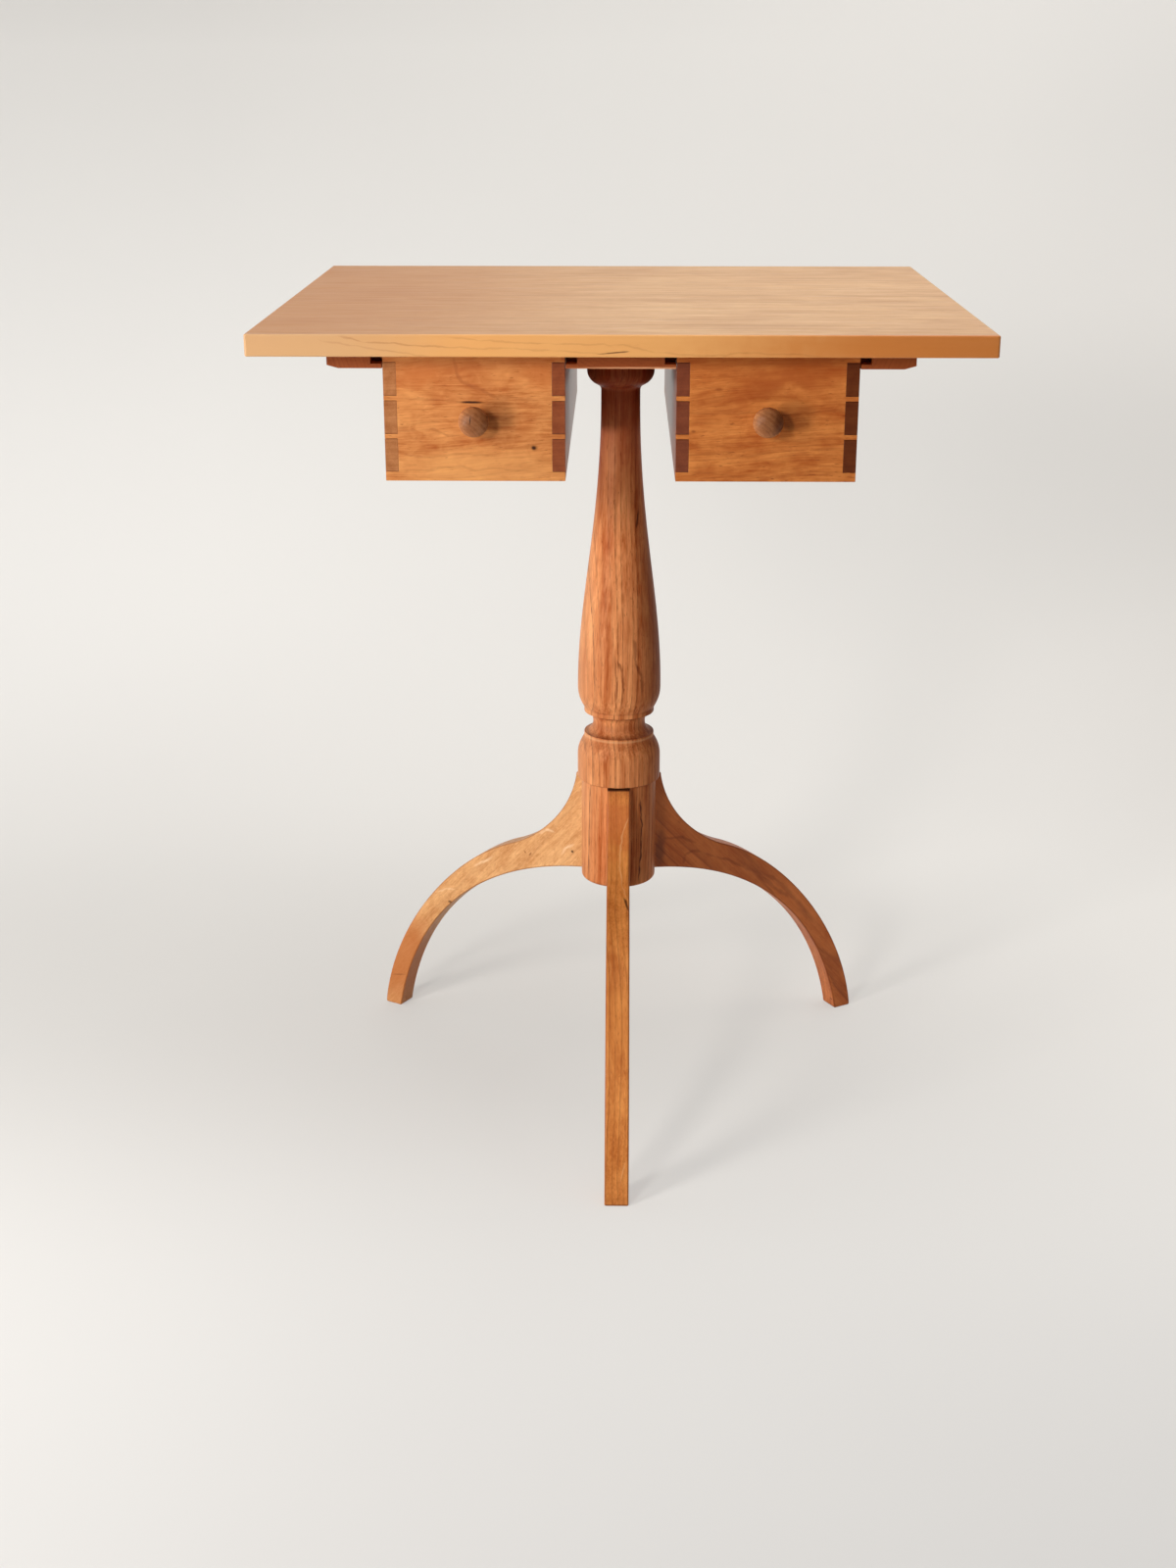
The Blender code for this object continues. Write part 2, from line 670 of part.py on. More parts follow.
def side_outline():
    """A drawer side in Y and Z: three tails at each end, which widen towards the face."""
    face = DRAWER_LENGTH / 2
    shoulder = face - END_THICK - GLUE_GAP
    narrowing = (face - shoulder) * TAIL_SLOPE
    front = [(-shoulder, -DRAWER_HEIGHT / 2)]
    for bottom in tail_bottoms():
        top = bottom + TAIL_WIDTH
        front += [(-shoulder, bottom + narrowing), (-face, bottom)]
        front += [(-face, top), (-shoulder, top - narrowing)]
    front += [(-shoulder, DRAWER_HEIGHT / 2)]
    back = [(-y, z) for y, z in reversed(front)]
    return front + back


def groove_z():
    """Height of the bottom panel's middle, from the drawer's middle."""
    return -DRAWER_HEIGHT / 2 + BOTTOM_RISE + BOTTOM_THICK / 2


def side_mesh():
    """A drawer side whose inner face looks to +X, with a stopped groove for the bottom."""
    side = workpiece("drawer_side", outline_mesh("drawer_side", [side_outline()], SIDE_THICK, STAND_ALONG))
    groove_length = DRAWER_LENGTH - 2 * END_THICK + 2 * PANEL_TONGUE + 2 * GLUE_GAP
    groove_size = (2 * (PANEL_TONGUE + GLUE_GAP), groove_length, BOTTOM_THICK + 2 * GLUE_GAP)
    groove_centre = (SIDE_THICK / 2, 0, groove_z())
    groove = workpiece("side_groove", box_mesh("side_groove", groove_size, groove_centre))
    combine(side, groove, "DIFFERENCE")
    return shaped_mesh(side, [groove])


def socket_loops():
    """Outlines in Y and Z of the sockets for the tails, cut right through a drawer end that faces -Y."""
    outer = -END_THICK / 2 - CUT_MARGIN
    inner = END_THICK / 2 + CUT_MARGIN
    widening = CUT_MARGIN * TAIL_SLOPE
    narrowing = (END_THICK + CUT_MARGIN) * TAIL_SLOPE
    loops = []
    for bottom in tail_bottoms():
        low = bottom - GLUE_GAP
        high = bottom + TAIL_WIDTH + GLUE_GAP
        loops.append(
            [
                (outer, low - widening),
                (outer, high + widening),
                (inner, high - narrowing),
                (inner, low + narrowing),
            ]
        )
    return loops


def end_mesh():
    """A drawer end that faces -Y: pins at both sides, a groove for the bottom and a hole for the knob."""
    end = workpiece("drawer_end", box_mesh("drawer_end", (DRAWER_WIDTH, END_THICK, DRAWER_HEIGHT)))
    socket_width = SIDE_THICK + GLUE_GAP + CUT_MARGIN
    sockets = outline_mesh("tail_sockets", socket_loops(), socket_width, STAND_ALONG)
    tools = []
    for side in (-1, 1):
        cutter = workpiece("tail_sockets", sockets)
        cutter.location.x = side * (DRAWER_WIDTH / 2 + CUT_MARGIN - socket_width / 2)
        tools.append(cutter)
    groove_size = (DRAWER_WIDTH - SIDE_THICK, 2 * (PANEL_TONGUE + GLUE_GAP), BOTTOM_THICK + 2 * GLUE_GAP)
    groove_centre = (0, END_THICK / 2, groove_z())
    tools.append(workpiece("end_groove", box_mesh("end_groove", groove_size, groove_centre)))
    hole_radius = KNOB_TENON_RADIUS + GLUE_GAP
    hole_profile = [(0, END_THICK), (hole_radius, END_THICK), (hole_radius, -END_THICK), (0, -END_THICK)]
    hole = turned_object("knob_hole", hole_profile, KNOB_STEPS, bpy.context.scene.collection)
    hole.location.z = -KNOB_DROP
    hole.rotation_euler.x = math.pi / 2
    tools.append(hole)
    for tool in tools:
        combine(end, tool, "DIFFERENCE")
    return shaped_mesh(end, tools)


def bottom_mesh():
    """The drawer's bottom: a thin panel that reaches into the grooves all round."""
    width = DRAWER_WIDTH - 2 * SIDE_THICK + 2 * PANEL_TONGUE
    length = DRAWER_LENGTH - 2 * END_THICK + 2 * PANEL_TONGUE
    return box_mesh("drawer_bottom", (width, length, BOTTOM_THICK), (0, 0, groove_z()))


def flange_mesh():
    """The strip along a side's top edge that hangs the drawer on a runner's lip."""
    size = (FLANGE_WIDTH, RUNNER_LENGTH - 2 * FLANGE_SETBACK, FLANGE_HEIGHT)
    flange = workpiece("flange", box_mesh("flange", size))
    ease(flange, FLANGE_EASE, 1)
    return baked_mesh(flange)


def knob_mesh():
    """A turned knob along +Z, its foot at height zero and its tenon below."""
    dome_depth = KNOB_REACH - KNOB_RIM_REACH
    dome = arc((0, KNOB_RIM_REACH), KNOB_RADIUS, dome_depth, 90, 0, KNOB_FACETS)
    under = bezier(
        (KNOB_RADIUS, KNOB_RIM_REACH),
        (0, -KNOB_RIM_PULL * KNOB_RIM_REACH),
        (0, KNOB_NECK_PULL * KNOB_RIM_REACH),
        (KNOB_NECK_RADIUS, KNOB_NECK_REACH),
        KNOB_FACETS,
    )[1:]
    foot = bezier(
        (KNOB_NECK_RADIUS, KNOB_NECK_REACH),
        (0, -KNOB_STEM_PULL * KNOB_NECK_REACH),
        (0, KNOB_FOOT_PULL * KNOB_NECK_REACH),
        (KNOB_FOOT_RADIUS, 0),
        KNOB_FOOT_FACETS,
    )[1:]
    tenon = [(KNOB_TENON_RADIUS, 0), (KNOB_TENON_RADIUS, -END_THICK), (0, -END_THICK)]
    knob = turned_object("knob", dome + under + foot + tenon, KNOB_STEPS, bpy.context.scene.collection)
    return smooth(baked_mesh(knob))


def build_drawers():
    """Two like drawers. Each one's pieces hang on an empty at its middle, which slides along Y."""
    side = side_mesh()
    end = end_mesh()
    bottom = bottom_mesh()
    flange = flange_mesh()
    knob = knob_mesh()
    side_x = DRAWER_WIDTH / 2 - SIDE_THICK / 2
    end_y = DRAWER_LENGTH / 2 - END_THICK / 2
    knob_y = DRAWER_LENGTH / 2 + SEAT_GAP
    flange_x = DRAWER_WIDTH / 2 + SEAT_GAP + FLANGE_WIDTH / 2
    flange_z = LIP_TOP_Z + SEAT_GAP + FLANGE_HEIGHT / 2 - DRAWER_Z
    for hand, sign in (("left", -1), ("right", 1)):
        carrier = bpy.data.objects.new(f"{hand}_drawer", None)
        PARTS.objects.link(carrier)
        carrier.parent = STAND
        carrier.location = (sign * DRAWER_X, 0, DRAWER_Z)
        low, high = ("outer", "inner") if sign < 0 else ("inner", "outer")
        put(f"{hand}_drawer_{low}_side", side, PARTS, WALNUT, carrier, (-side_x, 0, 0))
        put(f"{hand}_drawer_{high}_side", side, PARTS, WALNUT, carrier, (side_x, 0, 0), HALF_TURN)
        put(f"{hand}_drawer_front", end, PARTS, CHERRY, carrier, (0, -end_y, 0))
        put(f"{hand}_drawer_back", end, PARTS, CHERRY, carrier, (0, end_y, 0), HALF_TURN)
        put(f"{hand}_drawer_bottom", bottom, PARTS, POPLAR, carrier)
        put(f"{hand}_drawer_{low}_flange", flange, PARTS, CHERRY_DARK, carrier, (-flange_x, 0, flange_z))
        put(f"{hand}_drawer_{high}_flange", flange, PARTS, CHERRY_DARK, carrier, (flange_x, 0, flange_z))
        outward = math.pi / 2
        put(f"{hand}_front_knob", knob, PARTS, WALNUT, carrier, (0, -knob_y, -KNOB_DROP), (outward, 0, 0))
        put(f"{hand}_back_knob", knob, PARTS, WALNUT, carrier, (0, knob_y, -KNOB_DROP), (-outward, 0, 0))


clear_scene()
PARTS = new_collection("sewing_stand")
CUTTERS = new_collection("cutters")
CHERRY = wood("cherry", (0.50, 0.20, 0.065), 0.42)
CHERRY_PALE = wood("cherry_top", (0.56, 0.33, 0.17), 0.40)
CHERRY_RED = wood("cherry_column", (0.33, 0.12, 0.045), 0.42)
CHERRY_DARK = wood("cherry_runner", (0.27, 0.09, 0.05), 0.50)
WALNUT = wood("walnut", (0.20, 0.10, 0.06), 0.45)
POPLAR = wood("poplar", (0.62, 0.50, 0.32), 0.60)
BRASS = metal("brass", (0.70, 0.48, 0.20), 0.35)

STAND = bpy.data.objects.new("stand_axis", None)
PARTS.objects.link(STAND)
STAND.location.y = COLUMN_Y

SCREWS = screw_places()
HOLES = put_cutter("screw_holes", screw_holes_mesh(SCREWS), STAND)
SCREW = screw_mesh()
for screw_name, (screw_x, screw_y) in SCREWS.items():
    put(screw_name, SCREW, PARTS, BRASS, STAND, (screw_x, screw_y, RUNNER_BOTTOM_Z))

build_top(HOLES)
build_centre_runner(HOLES)
build_outer_runners(HOLES)
build_column()
build_wedge()
build_legs()
build_drawers()
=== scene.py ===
# %% [markdown]
# # A small sewing stand in cherry and walnut
#
# The stand is a flat top on a turned column with three curved legs, and two drawers that hang under
# the top. A CAD model already holds the true sizes and the bodies that move. This lesson dresses that
# model: most pieces are drawn again as finer surfaces with softened edges, and every surface gets a
# wood or metal finish made from nodes. All sizes are in metres, in the CAD model's own frame.

# %% Load the frame
import json
import math

import bpy
import numpy as np
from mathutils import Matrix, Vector

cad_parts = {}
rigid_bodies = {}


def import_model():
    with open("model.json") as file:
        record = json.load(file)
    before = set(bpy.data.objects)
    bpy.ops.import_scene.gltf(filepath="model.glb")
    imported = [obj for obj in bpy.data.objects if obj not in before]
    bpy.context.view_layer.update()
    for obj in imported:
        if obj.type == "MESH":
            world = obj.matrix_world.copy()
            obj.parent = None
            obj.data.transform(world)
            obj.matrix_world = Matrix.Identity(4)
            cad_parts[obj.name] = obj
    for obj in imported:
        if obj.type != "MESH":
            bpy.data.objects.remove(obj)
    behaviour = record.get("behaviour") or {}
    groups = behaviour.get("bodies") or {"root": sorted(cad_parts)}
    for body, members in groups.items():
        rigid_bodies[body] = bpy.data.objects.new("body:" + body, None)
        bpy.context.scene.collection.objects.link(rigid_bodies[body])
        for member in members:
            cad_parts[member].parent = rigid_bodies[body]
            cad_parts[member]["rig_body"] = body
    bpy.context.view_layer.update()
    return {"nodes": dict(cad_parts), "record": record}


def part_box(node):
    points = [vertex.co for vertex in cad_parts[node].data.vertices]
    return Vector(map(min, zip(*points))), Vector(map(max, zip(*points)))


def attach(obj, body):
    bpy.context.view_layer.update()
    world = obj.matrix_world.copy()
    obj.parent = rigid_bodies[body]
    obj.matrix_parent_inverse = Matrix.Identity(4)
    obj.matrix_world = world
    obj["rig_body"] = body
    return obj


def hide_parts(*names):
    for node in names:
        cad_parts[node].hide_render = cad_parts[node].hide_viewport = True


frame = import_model()
for body, members in frame["record"]["behaviour"]["bodies"].items():
    print(f"body {body}: {len(members)} pieces")

# %% [markdown]
# ## Surfaces as arrays
#
# Each new piece is a grid of points: a row is one closed ring round the piece, and the next row is the
# same ring a little further along. Blender could carry an outline with a curve and a bevel, but a plain
# array shows the formula and gives full control over where the points lie. The two end rings are closed
# with one flat face each, so every piece is a closed skin.


# %% A closed skin from rings of points
def closed_skin(rings):
    """Faces for rings of points, an array of (row, place in the ring, xyz).

    A side face joins two neighbours in one ring to the same two in the next ring. The first and last
    rings become flat caps. If the volume under all the faces comes out negative, the faces look
    inwards, and their order is turned round.
    """
    rows, columns = rings.shape[:2]
    points = rings.reshape(-1, 3)
    start = columns * np.arange(rows - 1)[:, None]
    here = np.arange(columns)
    there = (here + 1) % columns
    corners = [start + here, start + there, start + columns + there, start + columns + here]
    sides = np.stack(corners, axis=-1).reshape(-1, 4)
    caps = np.stack([here[::-1], here + (rows - 1) * columns])
    volume = 0
    for faces in (sides, caps):
        first = points[faces[:, :1]]
        volume += (first * np.cross(points[faces[:, 1:-1]], points[faces[:, 2:]])).sum() / 6
    if volume < 0:
        sides, caps = sides[:, ::-1], caps[:, ::-1]
    return points, sides.tolist() + caps.tolist()


# %% [markdown]
# ## Pieces that ride on the frame
#
# A piece stands for one CAD solid: it hides that solid and moves with its body. Two skins may go into one
# mesh, as with a leg and its dovetail. A number on every point says how far the point lies on a softened
# edge. The finishes darken the wood there, partly because hands and polish darken and thin a finish at the
# edges first, and partly as painted shade where a rounded edge turns away from the light.


# %% Make one piece
def make_piece(node, skins, edge_wear_and_shade, finish):
    """A mesh from closed skins, shaded smooth, that replaces the CAD node of the same name."""
    points, faces = [], []
    for rings in skins:
        skin_points, skin_faces = closed_skin(rings)
        shift = sum(len(block) for block in points)
        faces += [[shift + corner for corner in face] for face in skin_faces]
        points.append(skin_points)
    mesh = bpy.data.meshes.new(node + "_fine")
    mesh.from_pydata(np.concatenate(points), [], faces)
    mesh.shade_smooth()
    # The edge number darkens the finish at softened edges: wear, and painted shade where a rounded edge turns
    # from the light
    attribute = mesh.attributes.new("edge_wear_and_shade", "FLOAT", "POINT")
    attribute.data.foreach_set("value", np.concatenate([w.ravel() for w in edge_wear_and_shade]).astype(np.float32))
    mesh.materials.append(finish)
    piece = bpy.data.objects.new(node + "_fine", mesh)
    bpy.context.scene.collection.objects.link(piece)
    cad = frame["nodes"][node]
    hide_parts(node)
    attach(piece, cad["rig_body"])
    print(f"{node}: {len(mesh.vertices)} points, {len(faces)} faces")


# %% [markdown]
# ## Boards with softened edges
#
# Nearly everything here is a board: an outline in two directions, carried along the third. A real board
# never has a knife edge, so each edge gets a small quarter round. A Bevel modifier could do that, but
# then the points next to the round would bend the shading of the flat faces. Here an extra ring just
# beside each round keeps the flats flat.

# %% Round the corners of an outline
ROUND_STEPS = 5
SUPPORT = 0.0002


def rounded_outline(corners, radius):
    """An outline of (u, v) points with an arc in place of each corner.

    With d1 and d2 the directions from a corner to its neighbours, the arc touches both sides at
    radius / tan(half the angle between them). Its points turn evenly about the arc's centre, and one
    support point lies just before and just after it.
    """
    corners = np.array(corners)
    back = np.roll(corners, 1, axis=0) - corners
    ahead = np.roll(corners, -1, axis=0) - corners
    back /= np.linalg.norm(back, axis=1, keepdims=True)
    ahead /= np.linalg.norm(ahead, axis=1, keepdims=True)
    half = np.arccos(np.clip((back * ahead).sum(1), -1, 1)) / 2
    touch = (radius / np.tan(half))[:, None]
    middle = (back + ahead) / np.linalg.norm(back + ahead, axis=1, keepdims=True)
    centre = corners + middle * (radius / np.sin(half))[:, None]
    first = corners + back * touch - centre
    last = corners + ahead * touch - centre
    sweep = np.arccos(np.clip((first * last).sum(1) / radius**2, -1, 1))[:, None, None]
    t = np.linspace(0, 1, ROUND_STEPS)[None, :, None]
    turned = (np.sin((1 - t) * sweep) * first[:, None] + np.sin(t * sweep) * last[:, None]) / np.sin(sweep)
    arcs = centre[:, None] + turned
    before = corners + back * (touch + SUPPORT)
    after = corners + ahead * (touch + SUPPORT)
    return np.concatenate([before[:, None], arcs, after[:, None]], axis=1).reshape(-1, 2)


# %% Carry an outline from one flat face to the other
FULL_EDGE_BEND = math.radians(15)


def outward(outlines):
    """Outward directions of anticlockwise outlines, long enough to offset both sides of a point alike.

    A side's outward direction is its own direction turned a quarter to the right. A point takes the sum
    of its two sides' directions, divided by one plus the cosine between them. Also gives the bend there.
    """
    along = np.roll(outlines, -1, axis=-2) - outlines
    along /= np.linalg.norm(along, axis=-1, keepdims=True)
    side = np.stack([along[..., 1], -along[..., 0]], axis=-1)
    last = np.roll(side, 1, axis=-2)
    cosine = (side * last).sum(-1, keepdims=True)
    return (side + last) / (1 + cosine), np.arccos(np.clip(cosine[..., 0], -1, 1))


def eased_board(first, last, start, end, ease):
    """Rings of a board whose outline changes evenly from first, at start, to last, at end.

    Round an edge by an angle a, the ring lies ease * (1 - cos a) in from the flat face and is drawn in
    by ease * (1 - sin a). Gives rings of (u, v, depth) and how far each point lies on a softened edge.
    """
    turn = np.linspace(0, math.pi / 2, ROUND_STEPS)
    inset = np.concatenate([[ease + SUPPORT], ease * (1 - np.sin(turn)), [0]])
    depth = np.concatenate([[0], ease * (1 - np.cos(turn)), [ease + SUPPORT]])
    edge = np.concatenate([[0], np.sin(2 * turn), [0]])
    inset = np.concatenate([inset, inset[::-1]])[:, None, None]
    depth = np.concatenate([start + depth, end - depth[::-1]])[:, None, None]
    edge = np.concatenate([edge, edge[::-1]])[:, None]
    share = (depth - start) / (end - start)
    outlines = np.array(first) * (1 - share) + np.array(last) * share
    direction, bend = outward(outlines)
    flat = outlines - inset * direction
    rings = np.concatenate([flat, np.broadcast_to(depth, flat.shape[:2] + (1,))], axis=-1)
    edge_wear_and_shade = np.maximum(edge, np.clip(bend / FULL_EDGE_BEND, 0, 1))
    edge_wear_and_shade[[0, 1, -2, -1]] = 0
    return rings, edge_wear_and_shade


# %% Stand a board up, and make a straight one
def stood(rings, order):
    """Rings of (u, v, depth) renamed to xyz: order "xzy" means u is x, v is z and depth is y."""
    return rings[..., [order.index(axis) for axis in "xyz"]]


def straight_board(node, order, corner, ease, finish, edge_darkening=1):
    """A straight board as large as its CAD solid, carried along the last axis of order."""
    low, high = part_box(node)
    u, v, depth = ("xyz".index(axis) for axis in order)
    outline = [(low[u], low[v]), (high[u], low[v]), (high[u], high[v]), (low[u], high[v])]
    outline = rounded_outline(outline, corner)
    rings, edge_wear_and_shade = eased_board(outline, outline, low[depth], high[depth], ease)
    make_piece(node, [stood(rings, order)], [edge_darkening * edge_wear_and_shade], finish)


# %% [markdown]
# ## Colours and nodes
#
# Colours are written as they look on a screen, in sRGB hex, and one function turns them into the linear
# values that shaders work with. One more function adds a node, sets it up and links it, so a material
# reads from top to bottom as a list of steps.


# %% Four small helpers
def linear(colour):
    """An sRGB colour such as "#C08040" as linear red, green, blue and alpha."""
    share = np.array([int(colour[i : i + 2], 16) for i in (1, 3, 5)]) / 255
    value = np.where(share <= 0.04045, share / 12.92, ((share + 0.055) / 1.055) ** 2.4)
    return (*value.tolist(), 1.0)


def bare_tree(block):
    """Give a material or a world an empty node tree, and hand the tree back."""
    block.use_nodes = True
    block.node_tree.nodes.clear()
    return block.node_tree


def add(tree, kind, inputs=(), **settings):
    """Add one shader node, such as "Mix" or "Math ADD". An input is set to a value or linked to an output.

    Inputs are given by name or in order. Another node may stand for its output: the first one that its
    settings leave switched on.
    """
    kind, *operation = kind.split()
    node = tree.nodes.new("ShaderNode" + kind)
    if operation:
        node.operation = operation[0]
    for key, value in settings.items():
        setattr(node, key, value)
    for key, value in inputs.items() if isinstance(inputs, dict) else enumerate(inputs):
        if isinstance(value, bpy.types.Node):
            value = next(output for output in value.outputs if output.enabled)
        if isinstance(value, bpy.types.NodeSocket):
            tree.links.new(value, node.inputs[key])
        else:
            node.inputs[key].default_value = value
    return node


def set_ramp(node, stops):
    """Put (position, colour) stops on a colour ramp, in rising order."""
    ramp = node.color_ramp
    while len(ramp.elements) < len(stops):
        ramp.elements.new(0.5)
    for element, (position, colour) in zip(ramp.elements, stops):
        element.position = position
        element.color = colour
    return node


print("white is", linear("#FFFFFF"), "and mid grey is", round(linear("#808080")[0], 3))

# %% [markdown]
# ## Wood, from the tree outwards
#
# A board is a slice of a log, so its figure is worked out as a solid: every point has a distance from
# the log's centre, the pith, and the growth rings are steps of that distance. Where a flat face cuts the
# rings at a slant they spread into wide arches, and on the end of the board they show as arcs, with no
# picture and no stretching. The log is bent by slow noise that is long along the grain, as trees grow.

# %% The log's bends and its growth rings
# Each bend is a share of the reach, then the noise's size in mm across and along the grain
BENDS = ((1.0, 60, 300), (0.18, 11, 70))
RING_STOPS = ((0.0, 0.3), (0.07, 0.0), (0.5, 0.07), (0.82, 0.4), (0.95, 1.0), (1.0, 0.3))
SEASONS_PER_RING = 0.45


def stretched(tree, log, across_mm, along_mm, coarse=1):
    """The log's points in units of a pattern's size, so that noise over them has that size."""
    size = np.array((1000 / across_mm, 1000 / across_mm, 1000 / along_mm)) / coarse
    return add(tree, "VectorMath MULTIPLY", (log, size))


def bent(tree, log, bend_mm):
    """Push each point of the log sideways by slow noise, centred on nothing."""
    straight = log
    for share, across, along in BENDS:
        noise = {"Vector": stretched(tree, straight, across, along), "Scale": 1.0, "Detail": 1.0}
        noise = add(tree, "TexNoise", noise)
        reach = share * bend_mm * 2 / 1000
        push = (noise.outputs["Color"], (reach, reach, 0), (-reach / 2, -reach / 2, 0))
        push = add(tree, "VectorMath MULTIPLY_ADD", push)
        log = add(tree, "VectorMath ADD", (log, push))
    return log


def growth_rings(tree, log, ring_mm):
    """The dark line late in each ring, no two alike, and the slow change of tone over the seasons.

    A point's age is its distance from the pith in ring widths: the fraction places it within a ring,
    and the whole number picks how strong that ring is.
    """
    level = add(tree, "VectorMath MULTIPLY", (log, (1, 1, 0)))
    radius = add(tree, "VectorMath LENGTH", (level,))
    age = add(tree, "Math MULTIPLY", (radius, 1000 / ring_mm))
    within = add(tree, "Math FRACT", (age,))
    line = add(tree, "ValToRGB", {"Fac": within})
    set_ramp(line, [(stop, (value, value, value, 1)) for stop, value in RING_STOPS])
    which = add(tree, "Math FLOOR", (age,))
    luck = add(tree, "TexWhiteNoise", {"W": which}, noise_dimensions="1D")
    strength = add(tree, "MapRange", {"Value": luck, "To Min": 0.3, "To Max": 1.0})
    ring = add(tree, "Math MULTIPLY", (line, strength))
    slow = add(tree, "Math MULTIPLY", (age, SEASONS_PER_RING))
    season = add(tree, "TexNoise", {"W": slow, "Scale": 1.0}, noise_dimensions="1D")
    return {"ring": ring, "season": season}


# %% [markdown]
# ## Fibres, pores and clouds
#
# Over the rings come the things that make cherry look alive: fine fibres, short dark pores, long
# streaks, and soft cloudy light that follows wavy fibres. Each is one noise, long along the grain. Real
# fibres and pores are about a tenth of a millimetre across, too fine for a picture of the whole stand,
# so they are drawn about ten times coarser here.

# %% The parts of the figure
# Size in mm across and along the grain, then detail and swirl
FIGURE = {
    "fibre": (1.1, 30, 3, 0),
    "pore": (0.7, 6, 1, 0),
    "dash": (1.4, 9, 1, 0),
    "streak": (5, 110, 2, 0),
    "cloud": (20, 42, 2, 0.8),
    "mottle": (5, 11, 3, 1.0),
    "curl": (2.5, 8, 2, 2.0),
}


def figure_parts(tree, log, ring_mm, coarse, dashed):
    """Every part of the figure as a node with values from 0 to 1. The dashes break up the ring lines."""
    parts = growth_rings(tree, log, ring_mm)
    for part, (across, along, detail, swirl) in FIGURE.items():
        noise = {"Vector": stretched(tree, log, across, along, coarse), "Scale": 1.0}
        parts[part] = add(tree, "TexNoise", noise | {"Detail": detail, "Distortion": swirl})
    parts["pore"] = add(tree, "MapRange", {"Value": parts["pore"], "From Min": 0.66, "From Max": 0.78})
    broken = {"Value": parts["dash"], "From Min": 0.42, "From Max": 0.62, "To Min": 1 - dashed}
    broken = add(tree, "MapRange", broken)
    parts["ring"] = add(tree, "Math MULTIPLY", (parts["ring"], broken))
    return parts


print("figure:", *FIGURE)

# %% [markdown]
# ## Panels, soaked ends and marks
#
# A wide panel is glued up from boards, and each board comes from its own part of a log. End grain drinks
# oil and darkens. Gum pockets, pin knots, darker streaks and broad paler patches are placed where the
# real boards have them, and some patches and thin bands are painted light and shade instead: painted sheen
# where the light falls, painted shade away from it, under the top and in hollows, and painted highlights on
# edges that catch the light. A mark is an ellipsoid in the solid wood, and a chain of long thin ones is a
# vein.

# %% Boards glued side by side
LOG_REACH = 0.5


def glued_boards(tree, place, log, boards):
    """Shift the log for each board of a panel, and give the board its tone.

    boards holds (edge y, shift xyz in the log, tone), and last of all the panel's far edge. A stepped
    ramp over y picks the shift, kept as a colour from 0 to 1, and another one picks the tone.
    """
    low, high = boards[0][0], boards[-1][0]
    height = add(tree, "SeparateXYZ", {"Vector": place}).outputs["Y"]
    share = add(tree, "MapRange", {"Value": height, "From Min": low, "From Max": high})
    starts = [(edge - low) / (high - low) for edge, _, _ in boards[:-1]]
    shifts = [(*(0.5 + np.array(shift) / LOG_REACH).tolist(), 1) for _, shift, _ in boards[:-1]]
    greys = [(0.5 + tone,) * 3 + (1,) for _, _, tone in boards[:-1]]
    picks = []
    for colours in (shifts, greys):
        ramp = add(tree, "ValToRGB", {"Fac": share})
        ramp.color_ramp.interpolation = "CONSTANT"
        picks.append(set_ramp(ramp, list(zip(starts, colours))))
    moved = (picks[0], (LOG_REACH,) * 3, (-LOG_REACH / 2,) * 3)
    moved = add(tree, "VectorMath MULTIPLY_ADD", moved)
    log = add(tree, "VectorMath ADD", (log, moved))
    return log, add(tree, "Math SUBTRACT", (picks[1], 0.5))


# %% Ends that soak up oil, and edges darkened by wear and painted shade
SOAK_START = 0.55
EDGE_WEAR_AND_SHADE = 0.6


def darken_ends_and_edges(tree, colour, dark, grain, soak):
    """Darken end grain, where the normal's cosine to the grain is near one, and the softened edges: wear
    there, and painted shade where a rounded edge turns from the light.
    """
    facing = (add(tree, "TexCoord").outputs["Normal"], Vector(grain).normalized())
    facing = add(tree, "VectorMath DOT_PRODUCT", facing)
    ends = add(tree, "Math ABSOLUTE", (facing,))
    ends = add(tree, "MapRange", {"Value": ends, "From Min": SOAK_START, "To Max": soak})
    # Softened edges darken for wear, and as painted shade where a rounded edge turns from the light
    edge_wear_and_shade = add(tree, "Attribute", attribute_name="edge_wear_and_shade").outputs["Fac"]
    edge_wear_and_shade = add(tree, "Math MULTIPLY", (edge_wear_and_shade, EDGE_WEAR_AND_SHADE))
    share = add(tree, "Math MAXIMUM", (ends, edge_wear_and_shade))
    return add(tree, "Mix", {0: share, 6: colour, 7: dark}, data_type="RGBA")


# %% Marks and veins
RAGGED_MM = 9
WANDER = 0.003
BROAD = 0.05
VEIN_OVERLAP = 0.75


